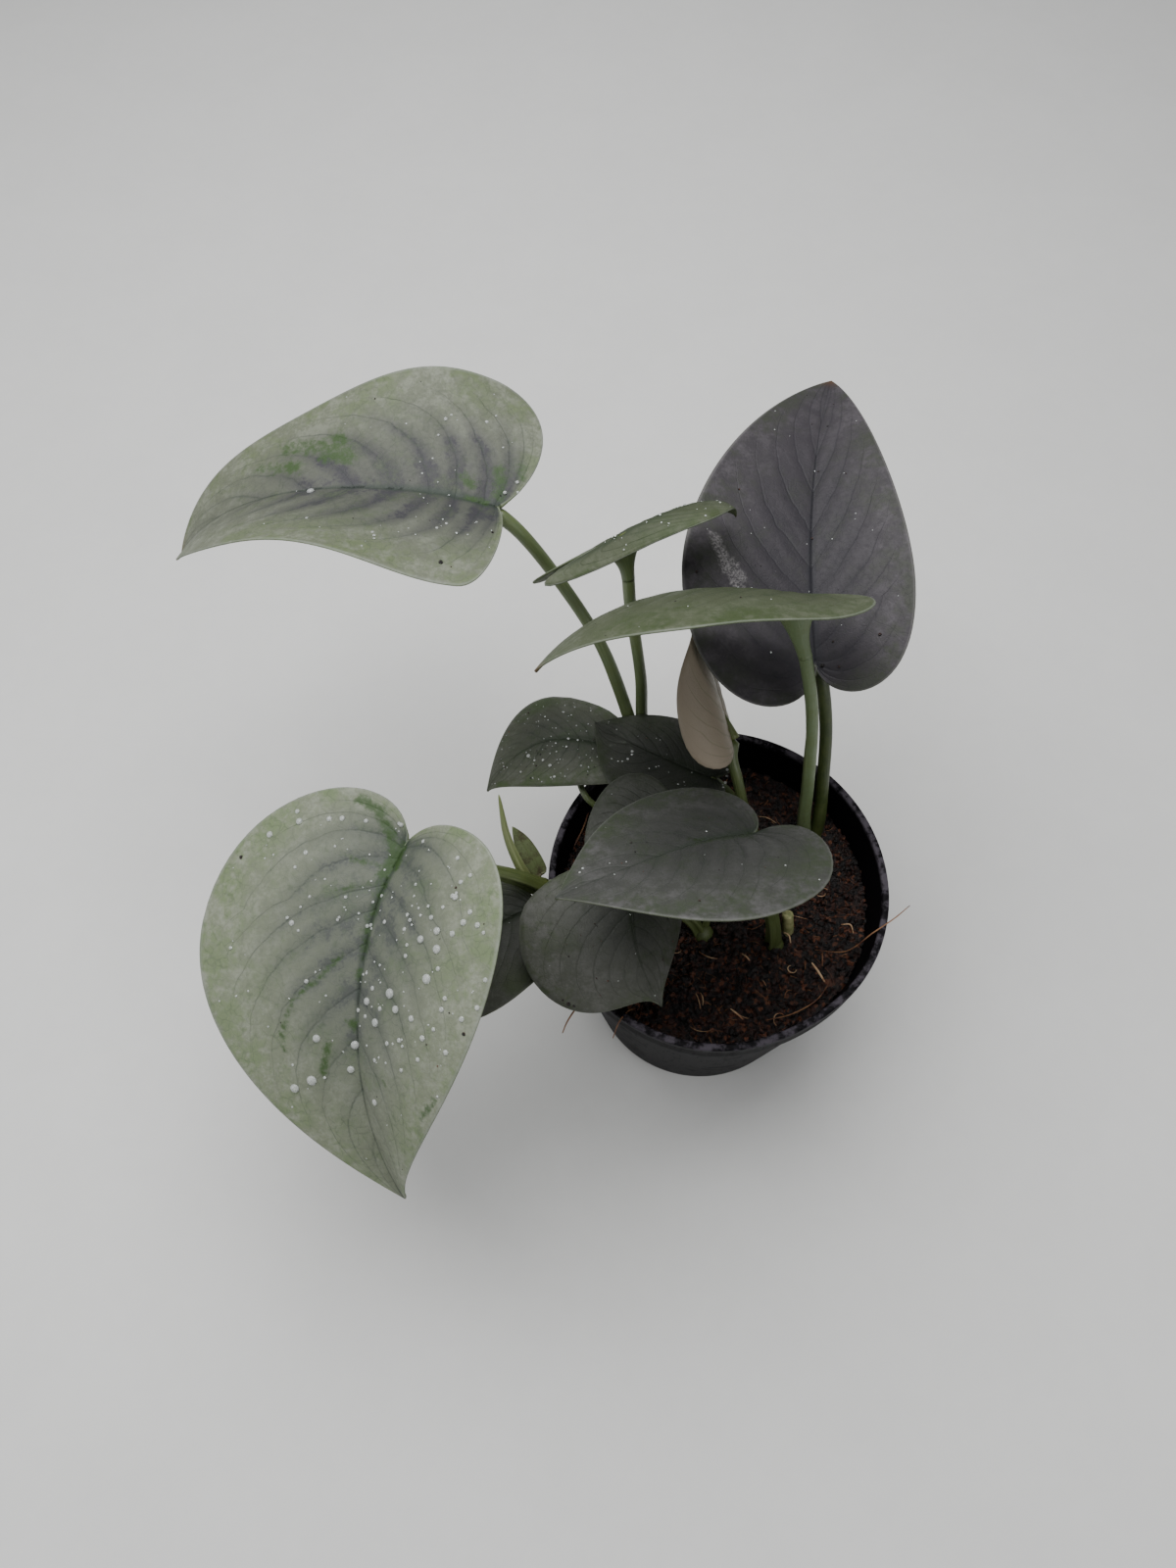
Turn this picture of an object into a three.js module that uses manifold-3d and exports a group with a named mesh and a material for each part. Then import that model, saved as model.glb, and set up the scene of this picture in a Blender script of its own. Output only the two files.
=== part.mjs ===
// Potted platinum scindapsus: a small silver-leaved aroid vine in a round black nursery pot.
// Millimetres, +Z up. The origin is the middle of the pot's underside and -Y is the front.

import * as THREE from 'three';
import { mergeVertices } from 'three/addons/utils/BufferGeometryUtils.js';
import Module from 'manifold-3d';

const wasm = await Module();
wasm.setup();

// Clearances and thicknesses
const clearance = 0.3;
const roomBelow = 0.36;
const bladeThickness = 0.8;

// Nursery pot
const pot = {
  height: 78,
  rimRadius: 45,
  baseRadius: 32,
  wall: 1.1,
  floor: 1.4,
  collarHeight: 9,
  collarStep: 1.3,
  collarLedge: 0.6,
  footBevel: 0.8,
  lipWidth: 1.9,
  lipHeight: 2.4,
  lipRound: 0.5,
  // The soft rim is a little oval and pressed flat at the front right
  ovality: 0.0075,
  dent: 1.2,
  dentHeading: -63,
  dentSpread: 24,
  drainHoles: 8,
  drainHoleRadius: 3,
  drainRingRadius: 22,
};

// Potting mix
const soil = {
  top: 65.5,
  shoulder: 0.4,
  // The top swells in two crossing waves, whose lengths along x and y are given here
  unevenness: 0.7,
  firstSwell: [7, 11],
  secondSwell: [13, 8],
  ringShares: [0.88, 0.64, 0.44, 0.22, 0],
  holeDepth: 10,
};

const roundSegments = 48;

// Blades. Each is measured from its joint, where the petiole meets the sinus between the two lobes.
// Pairs are the left and the right half, seen from the joint towards the tip.
//   joint, heading, pitch, roll  where the blade sits; + pitch lifts the tip, + roll lifts the left half
//   length, width, lobe          joint to tip, each half's width, how far each lobe reaches back
//   widest, full, point, tipWidth   the outline: place of the widest part, roundness and tip
//   sinus                        how far the notch between the lobes opens
//   fold, curl                   angle of each half at the midrib and how far it turns on to its margin
//   droop, droopPower, sweep     how far the midrib bows down, where it does so, and its bow sideways
//   dimple, lobeDrop, wave, waves, phase   sunk joint, bent lobes and the margin's waves
const plainBlade = {
  widest: 0.25, full: 0.5, point: 0.3, tipWidth: 0.3, sinus: 0.05,
  fold: [4, 4], curl: [0, 0], droop: 0, droopPower: 1, sweep: 0,
  dimple: 2, lobeDrop: 0, wave: 0, waves: 2.5, phase: 0,
};

const blades = {
  leaf_back_left: {
    joint: [-56.5, 69, 146], heading: 175, pitch: 3, roll: 8,
    length: 91, width: [33.5, 34], lobe: [3, 9.5],
    widest: 0.05, full: 0.4, point: 0, sinus: 0.15,
    fold: [14, 14], curl: [-2, -2], droop: 62, droopPower: 2, sweep: -1,
    wave: -4, waves: 1.2, phase: 54,
  },
  leaf_back_small: {
    joint: [-27, 59, 148], heading: 51, pitch: 3, roll: -37,
    length: 40, width: [16.5, 7.5], lobe: [16, 18],
    point: 0.35, fold: [-15, -18], curl: [-29, -30],
    droop: 66, sweep: -8, dimple: 0, lobeDrop: -1,
  },
  leaf_back_arched: {
    joint: [12.5, 44, 146], heading: 180, pitch: 11, roll: 52,
    length: 65, width: [27, 20], lobe: [15.5, 15],
    widest: 0.4, full: 0.45, point: 0.2, tipWidth: 0.35, sinus: 0,
    fold: [-2, -12], curl: [-22, -28], droop: 58, droopPower: 1.5, sweep: -1,
    dimple: 0, lobeDrop: -12,
  },
  leaf_back_large: {
    joint: [23, 44.5, 116], heading: 87, pitch: 23, roll: -12,
    length: 90.5, width: [33.5, 25.5], lobe: [12.5, 8],
    widest: 0.2, full: 0.3, point: 0.15, tipWidth: 0.35, sinus: 0,
    fold: [17, 6], curl: [11, 4], droop: 40, sweep: 2.5, lobeDrop: 3,
  },
  leaf_inner_left: {
    joint: [-32.5, 36.5, 88], heading: 196, pitch: -3, roll: 11,
    length: 33.5, width: [15.5, 18.5], lobe: [7.5, 8.5],
    widest: 0.2, point: 0.25, tipWidth: 0.35,
    fold: [2, 2], curl: [-28, -28], droop: 36, sweep: -5, lobeDrop: 2,
  },
  leaf_middle: {
    joint: [-2.5, 25.5, 89.5], heading: 152, pitch: 4, roll: 3,
    length: 34, width: [18.5, 12], lobe: [6.5, 5],
    widest: 0.3, point: 0.2, tipWidth: 0.35,
    fold: [4, 5], curl: [4, 5], droop: 13, sweep: 2,
  },
  leaf_rolled: {
    joint: [1.5, 30, 100], heading: -70, pitch: 146, roll: 78,
    length: 38, width: [12, 18], lobe: [2, 5],
    widest: 0.15, full: 0.6, sinus: 0.3, fold: [-50, -10], curl: [165, 110], dimple: 0,
  },
  leaf_centre_small: {
    joint: [-13.5, 4, 100], heading: 198, pitch: 4, roll: -3,
    length: 22.5, width: [14.5, 17], lobe: [6, 3],
    point: 0.05, tipWidth: 0.4,
    fold: [3, 3], curl: [-5, -5], droop: 16, sweep: -0.5,
  },
  leaf_front: {
    joint: [4.5, -1, 111], heading: 202, pitch: 20, roll: 29,
    length: 53, width: [30.5, 22], lobe: [11, 5],
    point: 0.25, tipWidth: 0.35, sinus: 0,
    fold: [3, 4], curl: [-8, -6], droop: 18, sweep: 1, lobeDrop: -13,
  },
  leaf_low_front: {
    joint: [-22.5, -5, 94], heading: -79, pitch: -4, roll: 1,
    length: 33.5, width: [18, 28.5], lobe: [7, 5],
    widest: 0.15, full: [0.4, 1.5], tipWidth: [0.25, 0.1],
    fold: [-4, -4], curl: [-62, -8], droop: 20, sweep: -3.5,
  },
  leaf_over_rim: {
    joint: [-49, -8, 80], heading: 221, pitch: -8, roll: 2,
    length: 49, width: [19.5, 14], lobe: [3.5, 1.5],
    widest: 0.35, fold: [5, 5], curl: [1, 0], droop: 15, sweep: -3.5,
  },
  leaf_trailing: {
    joint: [-78.5, -4.5, 109], heading: -102, pitch: -8, roll: 21,
    length: 92, width: [39, 44.5], lobe: [4.5, 12],
    full: 0.4, sinus: 0, fold: [21, 21], curl: [-24, -24], droop: 57, sweep: -5, lobeDrop: 1,
  },
};

// Petioles: each runs from its crown in the soil, or its node on the trailing stem, up to its blade
const petioles = {
  leaf_back_left: {
    radius: 1.7,
    route: [
      [-17, 31, 60], [-17.2, 31.7, 67], [-18.5, 34, 75], [-20.5, 38, 81], [-24, 45.5, 91],
      [-31, 53.5, 109.5], [-43, 63, 127.5], [-51.5, 66.5, 140],
    ],
  },
  leaf_back_small: {
    radius: 1.6,
    route: [
      [-15.5, 31, 60], [-15.8, 31.7, 67], [-17, 35, 75], [-18, 38.5, 80.5],
      [-19.5, 43, 86], [-20.5, 47, 104], [-24, 52, 131], [-25, 57, 142],
    ],
  },
  leaf_back_arched: {
    radius: 1.7,
    route: [
      [27, 20.5, 60], [24.5, 19.5, 75], [23.5, 22.5, 90], [21.5, 30, 113], [18, 35.5, 129], [14, 41, 141.5],
    ],
  },
  leaf_back_large: {
    radius: 1.8,
    route: [[29, 19.5, 60], [29, 21.5, 74], [28.5, 25.5, 84], [27.5, 34.5, 100], [25, 41.5, 111.5]],
  },
  leaf_middle: {
    radius: 1.2,
    route: [[10.5, 21, 60], [9, 22, 70], [5, 23.5, 80], [0, 24.5, 87]],
  },
  leaf_rolled: {
    radius: 1.5,
    route: [[11, 21, 60], [9, 19.5, 75], [6.5, 19.5, 86], [4.5, 22, 94], [2.8, 26.5, 98.5]],
  },
  leaf_centre_small: {
    radius: 1.2,
    route: [[-3.5, -9, 60], [-3, -7.5, 67], [-2.5, -4.5, 74], [-4, 1, 84], [-7.5, 3, 92], [-12, 3.5, 97]],
  },
  leaf_low_front: {
    radius: 1.6,
    route: [[-3.5, -10.5, 60], [-6, -8.5, 69.5], [-12.5, -6.5, 77.5], [-18.5, -5.5, 86], [-21.5, -5, 91]],
  },
  leaf_front: {
    radius: 1.8,
    route: [[16, -13, 60], [14, -11, 76], [11, -8, 88], [8, -5, 99], [5.5, -2.5, 107.5]],
  },
  leaf_inner_left: {
    radius: 0.9,
    route: [
      [-19.5, 13, 60], [-22, 14.5, 71], [-27.5, 18, 79], [-34.5, 22, 83], [-36.5, 28, 84], [-34, 33, 85.5],
    ],
  },
  leaf_trailing: {
    radius: 1.8,
    route: [[-46, -3, 81.5], [-53, -3.5, 90], [-64, -5, 100], [-75, -5.5, 106.5]],
  },
  leaf_over_rim: {
    radius: 1.2,
    route: [[-45, -3.5, 81], [-47.5, -6, 79.5]],
  },
};

const trailingStem = {
  radius: 2,
  route: [
    [-22.5, 4, 60], [-24, 3, 67], [-28, 0.5, 73], [-34, -2.5, 78], [-40.5, -3.5, 81.5], [-46.5, -3, 81.5],
  ],
};

// Leafy stems: the petioles that grow from one crown, and where and how wide that crown is
const stems = {
  stem_back_pair: { petioles: ['leaf_back_left', 'leaf_back_small'], crown: [-16.2, 31], radius: 3.4 },
  stem_right_pair: { petioles: ['leaf_back_arched', 'leaf_back_large'], crown: [27.6, 20], radius: 4 },
  stem_middle_pair: { petioles: ['leaf_middle', 'leaf_rolled'], crown: [10.5, 21], radius: 3.2 },
  stem_low_pair: { petioles: ['leaf_centre_small', 'leaf_low_front'], crown: [-3.7, -9.4], radius: 3.4 },
  stem_front: { petioles: ['leaf_front'], crown: [15.7, -12.7], radius: 2.6 },
  stem_thin: { petioles: ['leaf_inner_left'], crown: [-19.7, 13], radius: 2 },
  stem_trailing: {
    petioles: ['leaf_trailing', 'leaf_over_rim'], crown: [-23.4, 3.6], radius: 3.6, runner: trailingStem,
  },
};

// How far a crown stands out of the potting mix
const crownRise = 0.6;

// A new leaf still rolled in a spike, the dry sheath behind it, and the stub of a cut petiole
const newShoot = {
  radius: 1.3,
  tipRadius: 0.15,
  taper: 0.6,
  route: [[-49.5, -2.5, 84.5], [-52, 0, 90.5], [-54.5, 4, 98], [-56, 10, 109]],
};
const budSheath = {
  joint: [-46.3, -0.5, 85.1], heading: 131, pitch: 46, roll: -6,
  length: 15, width: [2.4, 2.4], lobe: [0.5, 0.5],
  widest: 0.35, tipWidth: 0.6, sinus: 0.5, fold: [-8, -8], curl: [-10, -10], dimple: 0,
};
const cutStub = { foot: [19.3, -9], top: [18.4, -7], topHeight: 73, radius: 1.5 };

const purplish = ['leaf_back_large', 'leaf_front', 'leaf_low_front', 'leaf_over_rim'];
const colours = {
  pot: 0x17181a,
  soil: 0x5a3a27,
  silver: 0x8f9f86,
  purpleSilver: 0x7f8879,
  petiole: 0x66703b,
  shoot: 0xa9b86c,
  sheath: 0x9c8a5c,
  stub: 0xb2a67f,
};

const radians = THREE.MathUtils.degToRad;
const ofSide = (value, side) => (Array.isArray(value) ? value[side] : value);

// Closed solids and booleans

function withoutSlivers(geometry) {
  const kept = [];
  const corner = geometry.index.array;
  for (let i = 0; i < corner.length; i += 3) {
    const [a, b, c] = corner.slice(i, i + 3);
    if (a !== b && b !== c && c !== a) {
      kept.push(a, b, c);
    }
  }
  geometry.setIndex(kept);
  return geometry;
}

function merged(geometry) {
  const bare = geometry.clone();
  bare.deleteAttribute('normal');
  bare.deleteAttribute('uv');
  return withoutSlivers(mergeVertices(bare, 1e-3));
}

function solid(geometry) {
  const closed = merged(geometry);
  return new wasm.Manifold(new wasm.Mesh({
    numProp: 3,
    vertProperties: closed.attributes.position.array,
    triVerts: Uint32Array.from(closed.index.array),
  }));
}

function largestBody(manifold) {
  return manifold.decompose().reduce((most, piece) => (piece.volume() > most.volume() ? piece : most));
}

function geometryOf(manifold) {
  const { vertProperties, triVerts } = manifold.getMesh();
  const geometry = new THREE.BufferGeometry();
  geometry.setAttribute('position', new THREE.BufferAttribute(vertProperties, 3));
  geometry.setIndex(new THREE.BufferAttribute(triVerts, 1));
  geometry.computeVertexNormals();
  return geometry;
}

function uprightLathe(profile) {
  const points = profile.map(([radius, z]) => new THREE.Vector2(radius, z));
  return new THREE.LatheGeometry(points, roundSegments).rotateX(Math.PI / 2);
}

function uprightCylinder([x, y], bottom, top, radius) {
  const cylinder = new THREE.CylinderGeometry(radius, radius, top - bottom, 12).rotateX(Math.PI / 2);
  return solid(cylinder.translate(x, y, (top + bottom) / 2));
}

function movePoints(geometry, move) {
  const position = geometry.attributes.position;
  const point = new THREE.Vector3();
  for (let i = 0; i < position.count; i++) {
    point.fromBufferAttribute(position, i);
    move(point);
    position.setXYZ(i, point.x, point.y, point.z);
  }
  return geometry;
}

// A tube along a route of points, whose radius follows a function of the place 0..1 along it
function sweep(route, radiusAt) {
  const sides = 8;
  const curve = new THREE.CatmullRomCurve3(route.map((p) => new THREE.Vector3(...p)), false, 'centripetal');
  const count = Math.max(2, Math.round(curve.getLength() / (4 * radiusAt(0))));
  const centres = curve.getSpacedPoints(count);
  const { normals, binormals } = curve.computeFrenetFrames(count, false);
  const position = [];
  const index = [];
  for (let i = 0; i <= count; i++) {
    for (let k = 0; k < sides; k++) {
      const turn = (2 * Math.PI * k) / sides;
      const point = centres[i].clone();
      point.addScaledVector(normals[i], Math.cos(turn) * radiusAt(i / count));
      point.addScaledVector(binormals[i], Math.sin(turn) * radiusAt(i / count));
      position.push(...point);
    }
  }
  const startCentre = position.length / 3;
  position.push(...centres[0], ...centres[count]);
  for (let k = 0; k < sides; k++) {
    const next = (k + 1) % sides;
    for (let i = 0; i < count; i++) {
      const low = i * sides;
      const high = low + sides;
      index.push(low + k, low + next, high + k, high + k, low + next, high + next);
    }
    index.push(startCentre, next, k);
    index.push(startCentre + 1, count * sides + k, count * sides + next);
  }
  const geometry = new THREE.BufferGeometry();
  geometry.setAttribute('position', new THREE.Float32BufferAttribute(position, 3));
  geometry.setIndex(index);
  return solid(geometry);
}

// Blade surface

const lobeRows = 5;
const tipRows = 7;
const bladeColumns = 3;
const dimpleSpread = 9;
// The lobes' rows start on this share of the midrib, and the rows after them crowd towards it a little
const nearRibShare = 0.1;
const ribSpread = 1.1;

function halfOutline(blade, side) {
  const width = blade.width[side];
  const length = blade.length;
  const widest = blade.widest * length;
  const rest = length - widest;
  // The lobe's curve reaches back by the lobe's length when its handles lie this far back
  const reach = (blade.lobe[side] + 0.09 * widest) / 0.742;
  const lobeCurve = new THREE.CubicBezierCurve(
    new THREE.Vector2(0, 0),
    new THREE.Vector2(-reach, blade.sinus * width),
    new THREE.Vector2(-reach, width),
    new THREE.Vector2(widest, width),
  );
  const tipCurve = new THREE.CubicBezierCurve(
    new THREE.Vector2(widest, width),
    new THREE.Vector2(widest + ofSide(blade.full, side) * rest, width),
    new THREE.Vector2(length - blade.point * rest, ofSide(blade.tipWidth, side) * width),
    new THREE.Vector2(length, 0),
  );
  // Each row runs from a place on the midrib to a place on the margin
  const nearRib = nearRibShare * length;
  const rows = [];
  for (let i = 1; i <= lobeRows; i++) {
    const t = i / lobeRows;
    rows.push({ rib: nearRib * Math.max(0, 2 * t - 1) ** 2, edge: lobeCurve.getPoint(t) });
  }
  for (let i = 1; i <= tipRows; i++) {
    const t = i / tipRows;
    rows.push({ rib: nearRib + (length - nearRib) * t ** ribSpread, edge: tipCurve.getPoint(t) });
  }
  return rows;
}

// The midrib's place and slope at a distance x from the joint, summed along its droop
function midribAt(blade, x) {
  const slopeAt = (distance) => -radians(blade.droop) * (distance / blade.length) ** blade.droopPower;
  const steps = 24;
  let along = 0;
  let rise = 0;
  for (let i = 0; i < steps; i++) {
    const slope = slopeAt((x * (i + 0.5)) / steps);
    along += (Math.cos(slope) * x) / steps;
    rise += (Math.sin(slope) * x) / steps;
  }
  return { along, rise, slope: slopeAt(x) };
}

function behindJoint(blade, x) {
  const slope = radians(blade.lobeDrop) * (-x / Math.max(...blade.lobe));
  return { along: x * Math.cos(slope / 2), rise: x * Math.sin(slope / 2), slope };
}

// A point of the upper face: x from the joint towards the tip, y outwards from the midrib
function bladePoint(blade, side, x, y) {
  const width = blade.width[side];
  const fold = radians(blade.fold[side]);
  const bend = (radians(blade.curl[side]) + 1e-4) / width;
  const outwards = (Math.sin(fold + bend * y) - Math.sin(fold)) / bend;
  const rib = x >= 0 ? midribAt(blade, x) : behindJoint(blade, x);
  const place = x / blade.length;
  const sideways = 4 * blade.sweep * place * (x >= 0 ? 1 - place : 1);
  const shift = side === 0 ? 0 : 2;
  const wave = blade.wave * (y / width) ** 2
    * Math.sin(2 * Math.PI * blade.waves * place + radians(blade.phase) + shift);
  const dimple = blade.dimple * Math.exp(-(x * x + y * y) / dimpleSpread ** 2);
  const height = (Math.cos(fold) - Math.cos(fold + bend * y)) / bend + wave - dimple;
  return new THREE.Vector3(
    rib.along - Math.sin(rib.slope) * height,
    (side === 0 ? outwards : -outwards) + sideways,
    rib.rise + Math.cos(rib.slope) * height + blade.dimple,
  );
}

function bladeSurface(blade) {
  const position = [];
  const index = [];
  for (const side of [0, 1]) {
    const rows = halfOutline(blade, side);
    const start = position.length / 3;
    const stride = bladeColumns + 1;
    for (const { rib, edge } of rows) {
      for (let column = 0; column <= bladeColumns; column++) {
        const share = column / bladeColumns;
        const x = rib + (edge.x - rib) * share;
        position.push(...bladePoint(blade, side, x, edge.y * share));
      }
    }
    for (let row = 0; row + 1 < rows.length; row++) {
      for (let column = 0; column < bladeColumns; column++) {
        const a = start + row * stride + column;
        const [b, c, d] = [a + 1, a + stride, a + stride + 1];
        index.push(...(side === 0 ? [a, c, b, b, c, d] : [a, b, c, b, d, c]));
      }
    }
  }
  const geometry = new THREE.BufferGeometry();
  geometry.setAttribute('position', new THREE.Float32BufferAttribute(position, 3));
  geometry.setIndex(index);
  return merged(geometry);
}

// A sheet with its two faces above and below the surface, closed along the margin
function thicken(surface, above, below) {
  surface.computeVertexNormals();
  const count = surface.attributes.position.count;
  const corner = surface.index.array;
  const position = [];
  for (const offset of [above, -below]) {
    for (let i = 0; i < count; i++) {
      const point = new THREE.Vector3().fromBufferAttribute(surface.attributes.position, i);
      const normal = new THREE.Vector3().fromBufferAttribute(surface.attributes.normal, i);
      position.push(...point.addScaledVector(normal, offset));
    }
  }
  const index = [...corner];
  const edges = new Set();
  for (let i = 0; i < corner.length; i += 3) {
    const [a, b, c] = corner.slice(i, i + 3);
    index.push(count + c, count + b, count + a);
    edges.add(`${a} ${b}`).add(`${b} ${c}`).add(`${c} ${a}`);
  }
  for (const edge of edges) {
    const [a, b] = edge.split(' ').map(Number);
    if (!edges.has(`${b} ${a}`)) {
      index.push(b, a, count + a, b, count + a, count + b);
    }
  }
  const geometry = new THREE.BufferGeometry();
  geometry.setAttribute('position', new THREE.Float32BufferAttribute(position, 3));
  geometry.setIndex(index);
  return geometry;
}

function makeBlade(values, colour, name) {
  const blade = { ...plainBlade, ...values };
  const surface = bladeSurface(blade);
  const geometry = thicken(surface, 0, bladeThickness);
  geometry.computeVertexNormals();
  const mesh = new THREE.Mesh(geometry, material(colour, 0.5));
  mesh.name = name;
  mesh.position.set(...blade.joint);
  mesh.rotation.set(radians(blade.roll), -radians(blade.pitch), radians(blade.heading), 'ZYX');
  mesh.updateMatrixWorld();
  const room = thicken(surface, clearance, bladeThickness + roomBelow).applyMatrix4(mesh.matrixWorld);
  return { blade, mesh, room: solid(room) };
}

// A place under the midrib, in the plant's frame
function underBlade({ blade, mesh }, x, depth) {
  return bladePoint(blade, 0, x, 0).sub(new THREE.Vector3(0, 0, depth)).applyMatrix4(mesh.matrixWorld);
}

function material(colour, roughness) {
  return new THREE.MeshStandardMaterial({ color: colour, roughness, metalness: 0 });
}

function pieceOf(manifold, colour, roughness, name) {
  const mesh = new THREE.Mesh(geometryOf(manifold), material(colour, roughness));
  mesh.name = name;
  return mesh;
}

// Pot and soil

// The thin pot's rim is a little oval and dented, less so further down
function squeeze(point) {
  const heading = Math.atan2(point.y, point.x);
  const height = point.z / pot.height;
  const away = Math.atan2(
    Math.sin(heading - radians(pot.dentHeading)),
    Math.cos(heading - radians(pot.dentHeading)),
  );
  const dent = pot.dent * Math.exp(-((away / radians(pot.dentSpread)) ** 2));
  const radius = Math.hypot(point.x, point.y);
  if (radius > 0) {
    const share = radius / pot.rimRadius;
    const scale = 1 + height * height * (-pot.ovality * Math.cos(2 * heading) - (dent * share) / radius);
    point.x *= scale;
    point.y *= scale;
  }
}

const collarFoot = pot.height - pot.collarHeight;
const wallTopRadius = pot.rimRadius - pot.collarStep - pot.collarLedge;
const wallOuterRadius = (z) => THREE.MathUtils.mapLinear(z, 0, collarFoot, pot.baseRadius, wallTopRadius);

function makePot() {
  const { rimRadius, height, lipWidth, lipHeight, lipRound } = pot;
  const inner = (z) => wallOuterRadius(z) - pot.wall;
  const wallShell = uprightLathe([
    [0, 0],
    [pot.baseRadius - pot.footBevel, 0],
    [wallOuterRadius(pot.footBevel), pot.footBevel],
    [wallTopRadius, collarFoot],
    [wallTopRadius + pot.collarStep, collarFoot + pot.collarLedge],
    [rimRadius - lipRound, height - lipHeight],
    [rimRadius, height - lipHeight + lipRound],
    [rimRadius, height - lipRound],
    [rimRadius - lipRound, height],
    [rimRadius - lipWidth + lipRound, height],
    [rimRadius - lipWidth, height - lipRound],
    [rimRadius - lipWidth, height - lipHeight + lipRound],
    [inner(collarFoot), collarFoot],
    [inner(pot.floor), pot.floor],
    [0, pot.floor],
  ]);
  let shell = solid(movePoints(wallShell, squeeze));
  for (let i = 0; i < pot.drainHoles; i++) {
    const turn = (2 * Math.PI * i) / pot.drainHoles;
    const centre = [Math.cos(turn) * pot.drainRingRadius, Math.sin(turn) * pot.drainRingRadius];
    shell = shell.subtract(uprightCylinder(centre, -1, pot.floor + 1, pot.drainHoleRadius));
  }
  return pieceOf(shell, colours.pot, 0.45, 'pot');
}

function soilRise(x, y) {
  const first = Math.sin(x / soil.firstSwell[0] + y / soil.firstSwell[1]);
  const second = Math.cos(y / soil.secondSwell[1] - x / soil.secondSwell[0]);
  return (soil.unevenness * (first + second)) / 2;
}

function makeSoil() {
  const radiusAt = (z) => wallOuterRadius(z) - pot.wall - clearance;
  const bottom = pot.floor + clearance;
  const mix = uprightLathe([
    [0, bottom],
    [radiusAt(bottom), bottom],
    [radiusAt(soil.top - soil.shoulder), soil.top - soil.shoulder],
    ...soil.ringShares.map((share) => [share * radiusAt(soil.top), soil.top]),
  ]);
  movePoints(mix, squeeze);
  movePoints(mix, (point) => {
    if (point.z > soil.top - soil.shoulder / 2) {
      point.z += soilRise(point.x, point.y);
    }
  });
  let body = solid(mix);
  const bore = (centre, radius) => {
    const hole = uprightCylinder(centre, soil.top - soil.holeDepth, pot.height, radius + clearance);
    body = body.subtract(hole);
  };
  Object.values(stems).forEach(({ crown, radius }) => bore(crown, radius));
  bore(cutStub.foot, cutStub.radius + clearance);
  return pieceOf(body, colours.soil, 0.95, 'soil');
}

// Stems

// The blades made so far, by name, for the petioles to reach
const made = {};

// The joint's swelling and its depth under the blade, in petiole radii,
// how far along the midrib the keel runs, and how much thinner it is there
const jointSwelling = 1.15;
const jointDepth = 0.6;
const keelShare = 0.13;
const keelTaper = 0.6;

// The swollen joint under a blade, and the keel that fades out along its midrib
function joinToBlade(target, radius) {
  const seat = underBlade(target, 0, bladeThickness + radius * jointDepth);
  const keelDepth = bladeThickness + radius * (1 - keelTaper);
  const keelEnd = underBlade(target, keelShare * target.blade.length, keelDepth);
  const joint = new THREE.SphereGeometry(radius * jointSwelling, 8, 6).translate(...seat);
  const keel = sweep([seat.toArray(), keelEnd.toArray()], (t) => radius * (1 - keelTaper * t));
  return { seat, shape: solid(joint).add(keel) };
}

function makePetiole(name) {
  const { radius, route } = petioles[name];
  const target = made[name];
  const { seat, shape } = joinToBlade(target, radius);
  return sweep([...route, seat.toArray()], () => radius).add(shape);
}

// Room for a blade, with copies of it set back so that the margins of its sinus stay clear too
const roomSetBack = 2 * clearance;
const roomHeadings = [[-1, -0.8, 0], [-1, 0, 0], [-1, 0.8, 0]];

function roomFor({ mesh, room }) {
  return roomHeadings.reduce((all, heading) => {
    const back = new THREE.Vector3(...heading).transformDirection(mesh.matrixWorld);
    return all.add(room.translate(back.multiplyScalar(roomSetBack).toArray()));
  }, room);
}

function makeStem(name) {
  const { petioles: names, crown, radius, runner } = stems[name];
  const foot = soil.top - soil.holeDepth + clearance;
  let body = uprightCylinder(crown, foot, soil.top + crownRise, radius);
  for (const petiole of names) {
    body = body.add(makePetiole(petiole));
  }
  if (runner) {
    body = body.add(sweep(runner.route, () => runner.radius));
  }
  for (const petiole of names) {
    body = body.subtract(roomFor(made[petiole]));
  }
  return pieceOf(largestBody(body), colours.petiole, 0.5, name);
}

function makeShoot() {
  const { radius, tipRadius, taper } = newShoot;
  const spike = sweep(newShoot.route, (t) => radius * (1 - t) ** taper + tipRadius);
  const room = sweep(petioles.leaf_trailing.route, () => petioles.leaf_trailing.radius + clearance);
  return pieceOf(largestBody(spike.subtract(room)), colours.shoot, 0.5, 'new_shoot');
}

function makeStub() {
  const [x, y] = cutStub.foot;
  const buried = [soil.holeDepth - 1, soil.holeDepth / 2, 0].map((depth) => [x, y, soil.top - depth]);
  const route = [...buried, [...cutStub.top, cutStub.topHeight]];
  return pieceOf(sweep(route, () => cutStub.radius), colours.stub, 0.7, 'cut_petiole');
}

for (const [name, values] of Object.entries(blades)) {
  made[name] = makeBlade(values, purplish.includes(name) ? colours.purpleSilver : colours.silver, name);
}

const pottedPlant = new THREE.Group();
const filledPot = new THREE.Group();
const plant = new THREE.Group();
filledPot.add(makePot(), makeSoil());
for (const name of Object.keys(stems)) {
  plant.add(makeStem(name));
}
for (const { mesh } of Object.values(made)) {
  plant.add(mesh);
}
plant.add(makeShoot(), makeBlade(budSheath, colours.sheath, 'bud_sheath').mesh, makeStub());
pottedPlant.add(filledPot, plant);

export default pottedPlant;
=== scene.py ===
"""Potted platinum scindapsus: a small silver-leaved aroid vine in a round black nursery pot.

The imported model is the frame. Each of its nodes is replaced by a finer piece of the same form,
and dew, debris, crumbs and fibres are added. Sizes in the classes are millimetres and degrees.
"""

from __future__ import annotations

import logging
import math
from dataclasses import dataclass, field
from enum import Enum
from typing import Callable, Iterable, Sequence

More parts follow.
